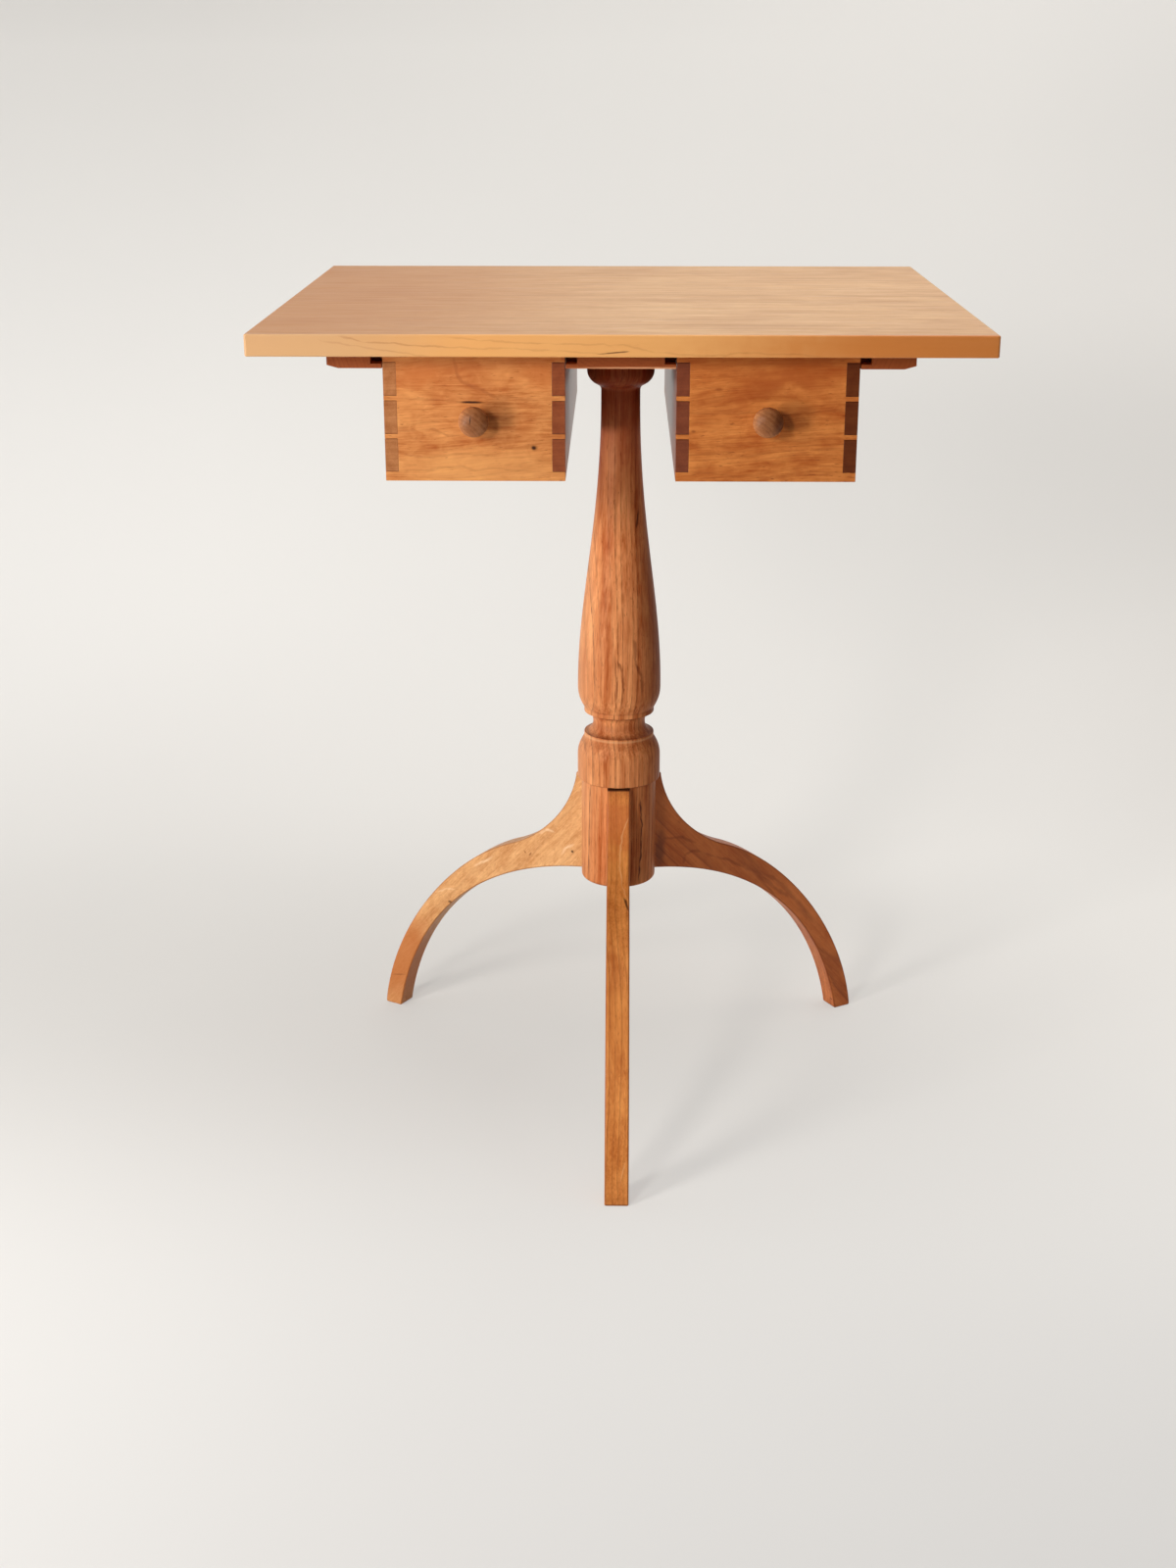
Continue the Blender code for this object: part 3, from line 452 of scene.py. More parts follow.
def marked(tree, place, colour, marks):
    """Lay gum pockets, knots, streaks, patches and bands of painted light and shade over a colour, in their
    order.

    Each mark is an ellipsoid (middle, half sizes, lean about Y in degrees, colour, strength) with a
    ragged edge: a point's distance from the middle, in half sizes, plus a little noise, fades the mark
    out. Broad patches get less of the noise. A sixth value says that the mark wanders: the point is
    first shifted by the same noise.
    """
    if not marks:
        return colour
    ragged = add(tree, "TexNoise", {"Vector": place, "Scale": 1000 / RAGGED_MM, "Detail": 2.0})
    shift = (ragged.outputs["Color"], (WANDER,) * 3, (-WANDER / 2,) * 3)
    shift = add(tree, "VectorMath MULTIPLY_ADD", shift)
    shifted = add(tree, "VectorMath ADD", (place, shift))
    for middle, half, lean, stain, strength, *wanders in marks:
        inside = {"Vector": shifted if wanders else place, "Location": middle, "Scale": half}
        inside["Rotation"] = (0, math.radians(lean), 0)
        inside = add(tree, "Mapping", inside, vector_type="TEXTURE")
        far = add(tree, "VectorMath LENGTH", (inside,))
        rag = 0.9 if max(half) < BROAD else 0.2
        far = add(tree, "Math MULTIPLY_ADD", (ragged, rag, far))
        fade = {"Value": far, "From Min": 0.3 + rag / 2, "From Max": 1.05 + rag / 2}
        fade |= {"To Min": strength, "To Max": 0.0}
        fade = add(tree, "MapRange", fade, interpolation_type="SMOOTHSTEP")
        colour = add(tree, "Mix", {0: fade, 6: colour, 7: linear(stain)}, data_type="RGBA")
    return colour


def veins(lines, half, stain, deep=0.004):
    """Wandering marks along lines on upright faces: a long thin one from each (x, z) to the next.

    A line is (y of the face, strength, first (x, z), second (x, z) and so on).
    """
    marks = []
    for face_y, strength, *path in lines:
        path = np.array(path)
        steps = np.diff(path, axis=0)
        for (x, z), (along, up) in zip(path[:-1] + steps / 2, steps):
            lean = -math.degrees(math.atan2(up, along))
            size = (VEIN_OVERLAP * math.hypot(along, up) + half, deep, half)
            marks.append(((x, face_y, z), size, lean, stain, strength, True))
    return marks


# %% [markdown]
# ## The wood finish
#
# All the wood here was planed, sawn or turned, then oiled and rubbed to a satin. The broad parts of the
# figure move the colour between a light and a deep tone, thin dark lines lie over it, and then come the
# soaked ends and the marks. The fibres break up the shine, and the pores stand a hair deep. A weak
# mirror keeps the satin soft, and a coat adds a glossier film of oil where the real wood has one.


# %% The wood finish
def wood_finish(
    name, grain, pith, ring_mm, colours, bend_mm, lines, tones, coarse=1, dashed=0.3, soak=0.5,
    boards=None, marks=(), rough=0.42, gloss=0.23, oil=0.0
):
    """A planed and oiled wood, rubbed to a satin. colours are its light tone, its deep tone and its lines.

    grain is the direction of the fibres and pith a point on the log's centre line. tones says how much
    each broad part of the figure moves the tone from light to deep, and lines how dark the thin ring
    lines and pores are. coarse enlarges the figure, dashed breaks the ring lines up, soak darkens end
    grain, gloss is how strongly the surface mirrors, and oil is a glossier coat.
    """
    finish = bpy.data.materials.new(name)
    tree = bare_tree(finish)
    place = add(tree, "TexCoord").outputs["Object"]
    turn = Vector(grain).rotation_difference(Vector((0, 0, 1)))
    log = {"Vector": place, "Location": -(turn @ Vector(pith)), "Rotation": turn.to_euler()}
    log = add(tree, "Mapping", log)
    if boards:
        log, board_tone = glued_boards(tree, place, log, boards)
    parts = figure_parts(tree, bent(tree, log, bend_mm), ring_mm, coarse, dashed)

    # The tone adds each broad part, less its middle value, to one half
    tone = 0.5
    for part, amount in tones.items():
        centred = add(tree, "Math SUBTRACT", (parts[part], 0.5))
        tone = add(tree, "Math MULTIPLY_ADD", (centred, amount, tone))
    if boards:
        tone = add(tree, "Math ADD", (tone, board_tone))
    light, deep, dark = (linear(colour) for colour in colours)
    colour = set_ramp(add(tree, "ValToRGB", {"Fac": tone}), [(0.15, light), (0.85, deep)])
    for part, amount in lines.items():
        share = add(tree, "Math MULTIPLY", (parts[part], amount))
        colour = add(tree, "Mix", {0: share, 6: colour, 7: dark}, data_type="RGBA")
    colour = darken_ends_and_edges(tree, colour, dark, grain, soak)
    colour = marked(tree, place, colour, marks)

    # Satin oil: rougher where the fibres are dull
    satin = {"Value": parts["fibre"], "From Min": 0.3, "From Max": 0.7}
    satin = add(tree, "MapRange", satin | {"To Min": rough - 0.06, "To Max": rough + 0.08})
    height = (parts["pore"], -0.7, parts["fibre"])
    height = add(tree, "Math MULTIPLY_ADD", height)
    bump = add(tree, "Bump", {"Height": height, "Strength": 0.5, "Distance": 0.00005})
    shader = {"Base Color": colour, "Roughness": satin, "Normal": bump, "IOR": 1.5}
    shader |= {"Specular IOR Level": gloss, "Coat Weight": oil, "Coat Roughness": 0.28}
    add(tree, "OutputMaterial", {"Surface": add(tree, "BsdfPrincipled", shader)})
    return finish


# %% [markdown]
# ## The top
#
# The top is a panel of five cherry boards glued edge to edge, planed flat, with its edges just broken.
# Light skims over it towards the eye, so it looks paler than the same wood upright. Its grain runs from
# left to right. Each board was cut from its own part of a log, so each has its own rings and tone. The
# front edge is the part nearest the eye, so its lines are drawn one by one.

# %% Marks on the top and its front edge
top_low, top_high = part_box("table_top")
edge_y = top_low.y
top_marks_and_painted_light = [
    # The first four are painted light and shade: painted shade over the left part of the top, and on the
    # front edge painted light in the middle, a pale painted sheen at the left and painted shade at the right
    ((-0.3, 0.0, 0.66), (0.34, 0.6, 0.03), 0, "#B06E30", 0.75),
    ((0.0, edge_y, 0.6525), (0.35, 0.004, 0.03), 0, "#E8AA66", 0.85),
    ((-0.24, edge_y, 0.6525), (0.14, 0.004, 0.03), 0, "#CBA276", 0.8),
    ((0.24, edge_y, 0.6525), (0.22, 0.004, 0.03), 0, "#C6722E", 0.8),
    ((-0.0045, edge_y, 0.6486), (0.011, 0.004, 0.0007), -5, "#4A2410", 0.8),
]
edge_lines = [
    (edge_y, 0.3, (-0.187, 0.6584), (-0.172, 0.6555), (-0.153, 0.6549), (-0.142, 0.6531), (-0.116, 0.6523)),
    (edge_y, 0.17, (-0.116, 0.6523), (-0.095, 0.6512), (-0.073, 0.6515), (-0.044, 0.6496), (-0.014, 0.6480)),
    (edge_y, 0.17, (-0.199, 0.6559), (-0.182, 0.6530), (-0.155, 0.6494), (-0.132, 0.6461)),
    (edge_y, 0.17, (-0.116, 0.6589), (-0.095, 0.6567), (-0.054, 0.6546), (0.000, 0.6536)),
    (edge_y, 0.17, (0.000, 0.6536), (0.023, 0.6487), (0.057, 0.6468)),
    (edge_y, 0.17, (0.057, 0.6462), (0.083, 0.6485), (0.116, 0.6476), (0.142, 0.6460)),
]
top_marks_and_painted_light += veins(edge_lines, 0.0009, "#9A5624")
print(len(top_marks_and_painted_light), "marks on the top")

# %% Cherry for the top, and the panel
TOP_EASE = 0.0011

# A pale, even satin with a thin film of oil, which gives the long soft sheen towards the eye
panel_cherry = wood_finish(
    "planed_cherry_panel_satin_oil",
    grain=(1, 0, 0),
    pith=(0, 0.02, 0.52),
    ring_mm=3.6,
    colours=("#E2B683", "#B37D49", "#8A4C22"),
    bend_mm=7,
    lines={"ring": 0.2, "pore": 0.55},
    tones={"season": 0.3, "fibre": 0.35, "streak": 0.45, "cloud": 0.55, "mottle": 0.35},
    coarse=1.8,
    oil=0.13,
    boards=(
        (top_low.y, (0.03, 0.0, 0.1), 0.02),
        (-0.131, (-0.02, 0.05, -0.2), -0.05),
        (-0.037, (0.04, -0.03, 0.21), 0.03),
        (0.062, (-0.03, 0.02, -0.12), -0.03),
        (0.149, (0.01, 0.04, 0.17), 0.05),
        (top_high.y, (0, 0, 0), 0),
    ),
    marks=top_marks_and_painted_light,
)
straight_board("table_top", "xyz", TOP_EASE + 2 * SUPPORT, TOP_EASE, panel_cherry, edge_darkening=0)
print("top", [round(1000 * size) for size in top_high - top_low], "mm")

# %% [markdown]
# ## The runners
#
# Three grooved bearers are screwed to the underside, and the drawers hang in their grooves. The CAD
# solids already have the grooves and the screw holes, and little of them shows, so those solids stay and
# only get their finish.

# %% Finish the runners
runner_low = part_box("centre_runner")[0]

# A redder, older cherry: its sawn ends look almost brown, and a pale band painted along the lower front edge
# of the centre one is a painted highlight where that edge catches the light
runner_cherry = wood_finish(
    "red_cherry_runner_oil",
    grain=(0, 1, 0),
    pith=(0.02, 0, 0.7),
    ring_mm=3,
    colours=("#CE7238", "#AC5422", "#5A2410"),
    bend_mm=4,
    lines={"ring": 0.5, "pore": 0.2},
    tones={"season": 0.3, "fibre": 0.4, "streak": 0.3},
    marks=[((0.015, runner_low.y, runner_low.z + 0.0004), (0.06, 0.004, 0.0012), 0, "#F0B488", 0.6)],
    rough=0.46,
)
for node in ("centre_runner", "left_outer_runner", "right_outer_runner"):
    frame["nodes"][node].material_slots[0].material = runner_cherry
print("runners finished with", runner_cherry.name)


# %% [markdown]
# ## The column
#
# The column is turned from one thick square of cherry: a round tenon, a bowl-shaped capital, a long
# shaft that swells like a bottle, a hollow between two crisp fillets, a barrel, and a drum with three
# dovetail sockets for the legs. On a lathe the whole shape is one profile spun round, and here it is the
# same: a list of (radius, height) stretches joined into one profile, carried round the axis. The drum
# rows leave the circle where a socket is cut.


# %% Curves for turned work
def bezier(start, start_pull, end_pull, end, count):
    """Points of a cubic curve. Each pull is a handle, given as an offset from its own end."""
    t = np.linspace(0, 1, count)[:, None]
    start, end = np.array(start), np.array(end)
    first, last = start + start_pull, end + end_pull
    return (1 - t) ** 3 * start + 3 * (1 - t) ** 2 * t * first + 3 * (1 - t) * t**2 * last + t**3 * end


def arc(centre, radius_u, radius_v, start, stop, count):
    """Points of an elliptical arc between two angles in degrees."""
    angle = np.radians(np.linspace(start, stop, count))
    return np.array(centre) + np.stack([radius_u * np.cos(angle), radius_v * np.sin(angle)], axis=-1)


def pull(length, degrees):
    """A handle of a given length, at an angle from the first direction."""
    return (length * math.cos(math.radians(degrees)), length * math.sin(math.radians(degrees)))


# %% Sizes of the column, from the top down
COLUMN_Y = (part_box("column")[0].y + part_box("column")[1].y) / 2
TENON_TOP_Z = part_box("column")[1].z
TENON_RADIUS = 0.0125
TENON_CHAMFER = 0.0003
TENON_MIDDLE = 0.0004
CAPITAL_RADIUS = 0.0265
CAPITAL_ROUND = 0.0006
SHOULDER_Z = 0.6331
BOWL_TOP_Z = 0.6038
BOWL_REACH = 0.0141
BOWL_DROP = 0.0123
NECK_RADIUS = 0.0154
NECK_FLARE = 0.0035
NECK_CURVE = 0.0048
NECK_STRAIGHT = 0.0043
BELLY_RADIUS = 0.0341
BELLY_DROP = 0.0179
FILLET_RADIUS = 0.0288
FILLET_HEIGHT = 0.0038
FILLET_ROUND = 0.0004
COVE_MOUTH = 0.0286
COVE_RADIUS = 0.0214
COVE_HEIGHT = 0.0176
BARREL_RADIUS = 0.0343
BARREL_HEIGHT = 0.0366
BARREL_SHOULDER = 0.0167
BARREL_ROUND = 0.0015
DRUM_RADIUS = 0.031
DRUM_TOP_Z = 0.2663
DRUM_FOOT_Z = 0.1765
DRUM_NOSE = 0.0035


# %% The column's profile
def column_profile():
    """The turned outline as (radius, height), from the top of the tenon to the edge of the drum's foot."""
    barrel_top = DRUM_TOP_Z + BARREL_HEIGHT
    cove_low = barrel_top + FILLET_HEIGHT
    cove_high = cove_low + COVE_HEIGHT
    vase_foot = cove_high + FILLET_HEIGHT
    belly = vase_foot + BELLY_DROP
    bowl_middle = (CAPITAL_RADIUS - BOWL_REACH, BOWL_TOP_Z)
    neck_angle = math.degrees(math.acos((NECK_RADIUS + NECK_FLARE - bowl_middle[0]) / BOWL_REACH))
    bowl = arc(bowl_middle, BOWL_REACH, BOWL_DROP, 0, -neck_angle, 22)
    bowl_lean = (bowl[-1] - bowl[-2]) / np.linalg.norm(bowl[-1] - bowl[-2])
    neck = (NECK_RADIUS, bowl[-1, 1] - NECK_CURVE)
    shaft = (NECK_RADIUS, neck[1] - NECK_STRAIGHT)
    drop = shaft[1] - belly
    cove_middle = (COVE_MOUTH, (cove_high + cove_low) / 2)
    fillet = FILLET_RADIUS - FILLET_ROUND
    barrel = (BARREL_RADIUS, barrel_top - BARREL_SHOULDER)

    def small_round(radius, height, size, start, stop, count=4):
        """A small circular arc about (radius, height)."""
        return arc((radius, height), size, size, start, stop, count)

    members = [
        [(TENON_MIDDLE, TENON_TOP_Z), (TENON_RADIUS - TENON_CHAMFER, TENON_TOP_Z)],
        [(TENON_RADIUS, TENON_TOP_Z - TENON_CHAMFER), (TENON_RADIUS, SHOULDER_Z)],
        [(CAPITAL_RADIUS - CAPITAL_ROUND - SUPPORT, SHOULDER_Z)],
        small_round(CAPITAL_RADIUS - CAPITAL_ROUND, SHOULDER_Z - CAPITAL_ROUND, CAPITAL_ROUND, 90, 0),
        [(CAPITAL_RADIUS, SHOULDER_Z - CAPITAL_ROUND - 2 * SUPPORT)],
        bowl,
        bezier(bowl[-1], 0.0024 * bowl_lean, (0, 0.0026), neck, 12)[1:],
        bezier(shaft, (0, -0.44 * drop), (0, 0.32 * drop), (BELLY_RADIUS, belly), 90),
        bezier(
            (BELLY_RADIUS, belly), (0, -BELLY_DROP / 2), pull(0.3 * BELLY_DROP, 60),
            (FILLET_RADIUS, vase_foot), 20
        )[1:],
        small_round(fillet, vase_foot - FILLET_ROUND, FILLET_ROUND, 60, 0),
        small_round(fillet, cove_high + FILLET_ROUND, FILLET_ROUND, 0, -80),
        arc(cove_middle, COVE_MOUTH - COVE_RADIUS, COVE_HEIGHT / 2, 95, 265, 26),
        small_round(fillet, cove_low - FILLET_ROUND, FILLET_ROUND, 80, 0),
        small_round(fillet, barrel_top + FILLET_ROUND, FILLET_ROUND, 0, -50),
        bezier((FILLET_RADIUS - SUPPORT / 2, barrel_top), pull(0.00585, -60), (0, 0.00752), barrel, 20),
        small_round(BARREL_RADIUS - BARREL_ROUND, DRUM_TOP_Z + BARREL_ROUND, BARREL_ROUND, 0, -90, 7),
        [(DRUM_RADIUS + SUPPORT, DRUM_TOP_Z)],
    ]
    drum = [(DRUM_RADIUS, DRUM_TOP_Z - SUPPORT / 2), (DRUM_RADIUS, DRUM_TOP_Z - SUPPORT)]
    nose = small_round(DRUM_RADIUS - DRUM_NOSE, DRUM_FOOT_Z + DRUM_NOSE, DRUM_NOSE, 0, -90, 9)
    foot = [(nose[-1, 0] - SUPPORT, DRUM_FOOT_Z)]
    return np.concatenate(members), np.concatenate([drum, nose, foot])


upper_profile, drum_profile = column_profile()
whole_profile = np.concatenate([upper_profile, drum_profile])
print(len(upper_profile), "rows to the drum,", len(drum_profile), "rows on it")

# %% Spin the profile, with sockets in the drum
TONGUE_DEPTH = 0.0105
TONGUE_ROOT = 0.0098
TONGUE_SLOPE = 1 / 6
SOCKET_GAP = 0.0001
PLAIN_STEPS = 30
SOCKET_STEPS = 13
THIRD = 2 * math.pi / 3


def column_rings():
    """Rings of the column. A third of a ring is one socket and the plain arc after it.

    Above the drum every point lies on the circle. On the drum a socket's points run in along one
    sloping cheek, across the flat end and out along the other: with s from -1 to 1 across the socket,
    the cheeks take the outer thirds of s and the end the middle third. The last row opens the socket a
    little more, so that no face there is folded flat.
    """
    rows = len(whole_profile)
    radius, height = whole_profile[:, 0, None], whole_profile[:, 1, None]
    cut = (np.arange(rows) > len(upper_profile))[:, None]
    eased = SOCKET_GAP + np.where(np.arange(rows) == rows - 1, SUPPORT, 0)[:, None]
    mouth = TONGUE_ROOT / 2 + (DRUM_RADIUS - np.minimum(radius, DRUM_RADIUS)) * TONGUE_SLOPE + eased
    plain_span = math.asin(mouth[-1, 0] / radius[-1, 0])
    span = np.where(cut, np.arcsin(np.clip(mouth / radius, 0, 0.9)), plain_span)
    s = np.linspace(-1, 1, SOCKET_STEPS)[None, :]
    end_reach = DRUM_RADIUS - TONGUE_DEPTH - eased
    end_half = TONGUE_ROOT / 2 + TONGUE_DEPTH * TONGUE_SLOPE + eased
    cheek = np.clip(3 * (1 - np.abs(s)) / 2, 0, 1)
    mouth_reach = np.sqrt(np.maximum(radius**2 - mouth**2, 0))
    across = np.sign(s) * (mouth + (end_half - mouth) * cheek)
    across = np.where(cheek < 1, across, 3 * s * end_half)
    reach = mouth_reach + (end_reach - mouth_reach) * cheek
    socket_x = np.where(cut, across, radius * np.sin(s * span))
    socket_y = np.where(cut, -reach, -radius * np.cos(s * span))
    t = np.linspace(0, 1, PLAIN_STEPS + 2)[None, 1:-1]
    angle = span + t * (THIRD - 2 * span)
    x = np.concatenate([socket_x, radius * np.sin(angle)], axis=1)
    y = np.concatenate([socket_y, -radius * np.cos(angle)], axis=1)
    turns = np.array([0, 1, 2])[None, :, None] * THIRD
    around_x = np.cos(turns) * x[:, None] - np.sin(turns) * y[:, None]
    around_y = np.sin(turns) * x[:, None] + np.cos(turns) * y[:, None]
    z = np.broadcast_to(height[:, :, None], around_x.shape)
    return np.stack([around_x, around_y + COLUMN_Y, z], axis=-1).reshape(rows, -1, 3)


# %% Marks on the column
column_marks_and_painted_light = [
    ((0.0138, -0.0074, 0.488), (0.0012, 0.004, 0.014), 7, "#2E1210", 0.8),
    ((-0.028, -0.006, 0.298), (0.0009, 0.008, 0.006), 0, "#6A2C14", 0.6),
    # Painted shade in a thin ring where the barrel's edge meets the drum
    ((0.0, COLUMN_Y, DRUM_TOP_Z), (0.05, 0.05, 0.0011), 0, "#A8481C", 0.6),
    ((0.0165, -0.0110, 0.316), (0.0016, 0.006, 0.012), 0, "#3A1A14", 0.6),
    # Painted light and shade: a pale painted sheen down the left side, painted shade down the right side and
    # under the top, painted shade on the barrel's shoulder and in the hollow, and a painted highlight on the
    # fillet between them
    ((-0.034, COLUMN_Y, 0.36), (0.026, 0.06, 0.24), 0, "#F0BC8E", 0.26),
    ((0.034, COLUMN_Y, 0.47), (0.026, 0.06, 0.24), 0, "#6A2408", 0.65),
    ((0.04, COLUMN_Y, 0.3), (0.024, 0.06, 0.3), 0, "#7A2E0C", 0.4),
    ((0.0, COLUMN_Y, 0.62), (0.06, 0.06, 0.14), 0, "#962E1C", 0.65),
    ((0.0, COLUMN_Y, DRUM_TOP_Z + 0.0345), (0.05, 0.05, 0.0045), 0, "#7A2E14", 0.28),
    ((0.0, COLUMN_Y, DRUM_TOP_Z + 0.0465), (0.05, 0.05, 0.006), 0, "#7A2E14", 0.28),
    ((0.0, COLUMN_Y, DRUM_TOP_Z + 0.0385), (0.05, 0.05, 0.0017), 0, "#E9B485", 0.55),
]
belly_lines = [
    (-0.025, 0.5, (-0.0034, 0.379), (-0.0023, 0.3576), (-0.003, 0.340)),
    (-0.025, 0.5, (-0.0015, 0.3754), (0.0024, 0.3654), (0.0034, 0.3519), (0.002, 0.338)),
]
side_line = (-0.021, 0.45, (0.0118, 0.391), (0.0139, 0.371), (0.0181, 0.362), (0.0187, 0.346))
drum_lines = [
    (-0.0166, 0.85, (0.018, 0.252), (0.0188, 0.24), (0.0198, 0.2305), (0.019, 0.2187)),
    (-0.0166, 0.8, (0.019, 0.2187), (0.0189, 0.2076), (0.0178, 0.1968), (0.0174, 0.1816)),
]
column_marks_and_painted_light += veins(belly_lines, 0.0013, "#6A2A12", 0.012)
column_marks_and_painted_light += veins([side_line], 0.0016, "#5A2210", 0.012)
column_marks_and_painted_light += veins(drum_lines, 0.0009, "#2A1016")
print(len(column_marks_and_painted_light), "marks on the column")

# %% Cherry for the column, and the column
SHARP_TURN = 0.6
TURNED_EDGE_WEAR_AND_SHADE = 0.15

# A warm satin with long broken ring lines, and too little gloss to mirror the lamps along the shaft
column_cherry = wood_finish(
    "turned_cherry_satin_oil",
    grain=(0.012, 0.02, 1),
    pith=(0.22, 0.06, 0.4),
    ring_mm=4.0,
    colours=("#EDA169", "#B05B2D", "#5E2610"),
    bend_mm=5,
    lines={"ring": 1.0, "pore": 0.6},
    tones={"season": 0.7, "fibre": 0.8, "streak": 0.9, "cloud": 0.45, "mottle": 0.2},
    dashed=0.6,
    marks=column_marks_and_painted_light,
    rough=0.4,
    gloss=0.06,
)
rings = column_rings()
slope = np.diff(whole_profile, axis=0, append=whole_profile[-1:])
angle = np.unwrap(np.arctan2(slope[:, 1], slope[:, 0]))
sharp = np.clip(np.abs(np.gradient(angle)) / SHARP_TURN, 0, 1)
# Sharp turns of the profile get a little of the edge darkening: wear and painted shade
edge_wear_and_shade = np.broadcast_to(TURNED_EDGE_WEAR_AND_SHADE * sharp[:, None], rings.shape[:2])
make_piece("column", [rings], [edge_wear_and_shade], column_cherry)

# %% [markdown]
# ## The legs
#
# Each leg is sawn from a flat cherry board: a sweep down from the barrel to a knee, a long shin to the
# toe, and an arch underneath. The outline is three cubic curves with small rounds at the corners, carried
# across the leg's thickness as a board. Where the leg meets the drum a dovetail tongue slides up into the
# socket. The grain follows the leg's length, so the three legs share one shape but not one piece of wood.

# %% Sizes and outline of a leg
LEG_THICK = 0.0187
LEG_EASE = 0.0013
LEG_CORNER = LEG_EASE + 2 * SUPPORT
LEG_TOP_Z = 0.266
KNEE = (0.104, 0.1872)
KNEE_SLOPE = -21.5
TOE = (0.245, 0)
HEEL = (TOE[0] - 0.0172, 0)
TIP = (BARREL_RADIUS + 0.0017, LEG_TOP_Z)
SPRING = (DRUM_RADIUS, DRUM_FOOT_Z + 0.0034)
INSIDE = DRUM_RADIUS - TONGUE_DEPTH / 2
TRIM = 0.003
NEAR = 8
LEG_HEAD = (0.03, 0.235)
LEG_PITH = (0.12, 0.16)


def corner_round(before, corner, after):
    """The arc that rounds the middle one of three points, with its two support points."""
    return rounded_outline([before, corner, after], LEG_CORNER).reshape(3, -1, 2)[1]


def leg_outline():
    """The leg's outline as (reach from the column's axis, height), anticlockwise from the inside top.

    The three curves are trimmed a little at each end, and an arc joins each pair of ends.
    """
    sweep = bezier(TIP, pull(0.0397, -82), pull(0.0304, 180 + KNEE_SLOPE), KNEE, 60)
    shin = bezier(KNEE, pull(0.0649, KNEE_SLOPE), pull(0.0856, 97.5), TOE, 90)
    arch = bezier(HEEL, pull(0.0804, 100.4), pull(0.1279, -8.2), SPRING, 110)
    outer = np.concatenate([sweep, shin[1:]])
    blocks = [
        [(INSIDE, LEG_TOP_Z)],
        corner_round((INSIDE, LEG_TOP_Z), TIP, outer[NEAR]),
        outer[(outer[:, 1] < TIP[1] - TRIM) & (outer[:, 1] > TRIM)],
        corner_round(outer[-1 - NEAR], TOE, HEEL),
        corner_round(TOE, HEEL, arch[NEAR]),
        arch[arch[:, 1] > TRIM],
        [(INSIDE, SPRING[1])],
    ]
    return np.concatenate(blocks)[::-1]


leg_flat = leg_outline()
leg_rings, leg_edge_wear_and_shade = eased_board(leg_flat, leg_flat, -LEG_THICK / 2, LEG_THICK / 2, LEG_EASE)
print(len(leg_flat), "points round a leg")

# %% The dovetail tongue of a leg
TONGUE_START = 0.002
TONGUE_CORNER = 0.0006
TONGUE_EASE = 0.0003
start_half = TONGUE_ROOT / 2 + TONGUE_START * TONGUE_SLOPE
end_half = TONGUE_ROOT / 2 + TONGUE_DEPTH * TONGUE_SLOPE
start_reach, end_reach = DRUM_RADIUS - TONGUE_START, DRUM_RADIUS - TONGUE_DEPTH
tongue_flat = [(end_reach, -end_half), (start_reach, -start_half)]
tongue_flat += [(start_reach, start_half), (end_reach, end_half)]
tongue_flat = rounded_outline(tongue_flat, TONGUE_CORNER)
tongue_low, tongue_high = SPRING[1] + LEG_EASE, LEG_TOP_Z - LEG_EASE
tongue_rings, tongue_edge_wear_and_shade = eased_board(tongue_flat, tongue_flat, tongue_low, tongue_high, TONGUE_EASE)
print(len(tongue_flat), "points round a tongue")

# %% Marks on the legs
GUM, PALE, FLECK, RED_VEIN = "#2A1108", "#E6B27A", "#FFDDB4", "#6A2810"
left_flecks = [
    (0.033, 0.4, (-0.0686, 0.2029), (-0.0616, 0.2076), (-0.0553, 0.2072)),
    (0.023, 0.36, (-0.0484, 0.1885), (-0.0449, 0.1951), (-0.0384, 0.1989)),
    (0.068, 0.36, (-0.1276, 0.1576), (-0.1221, 0.1626), (-0.1158, 0.1664)),
    (0.064, 0.36, (-0.1203, 0.1623), (-0.1112, 0.1705)),
    (0.087, 0.36, (-0.1627, 0.1243), (-0.1548, 0.1292), (-0.146, 0.1308)),
]
front_lines = [
    (-0.05, 0.5, (0.008, 0.2431), (0.0043, 0.2349), (0.002, 0.2252)),
    (-0.05, 0.45, (0.002, 0.2252), (0.0014, 0.2117), (0.0031, 0.1996), (0.0078, 0.1917)),
]
right_upper = [
    (0.03, 0.36, (0.0403, 0.2053), (0.0553, 0.2024), (0.0637, 0.1966)),
    (0.04, 0.36, (0.0564, 0.1786), (0.0577, 0.1856), (0.0638, 0.1882), (0.0721, 0.186)),
]
right_knee = (0.06, 0.4, (0.0721, 0.186), (0.0819, 0.1794), (0.0975, 0.1723), (0.1076, 0.164))
right_shin = (0.08, 0.38, (0.1076, 0.164), (0.122, 0.1549), (0.1415, 0.1338), (0.1519, 0.1252))
right_arch = (0.08, 0.3, (0.1017, 0.1728), (0.1192, 0.1584), (0.1412, 0.1429), (0.1629, 0.1159))
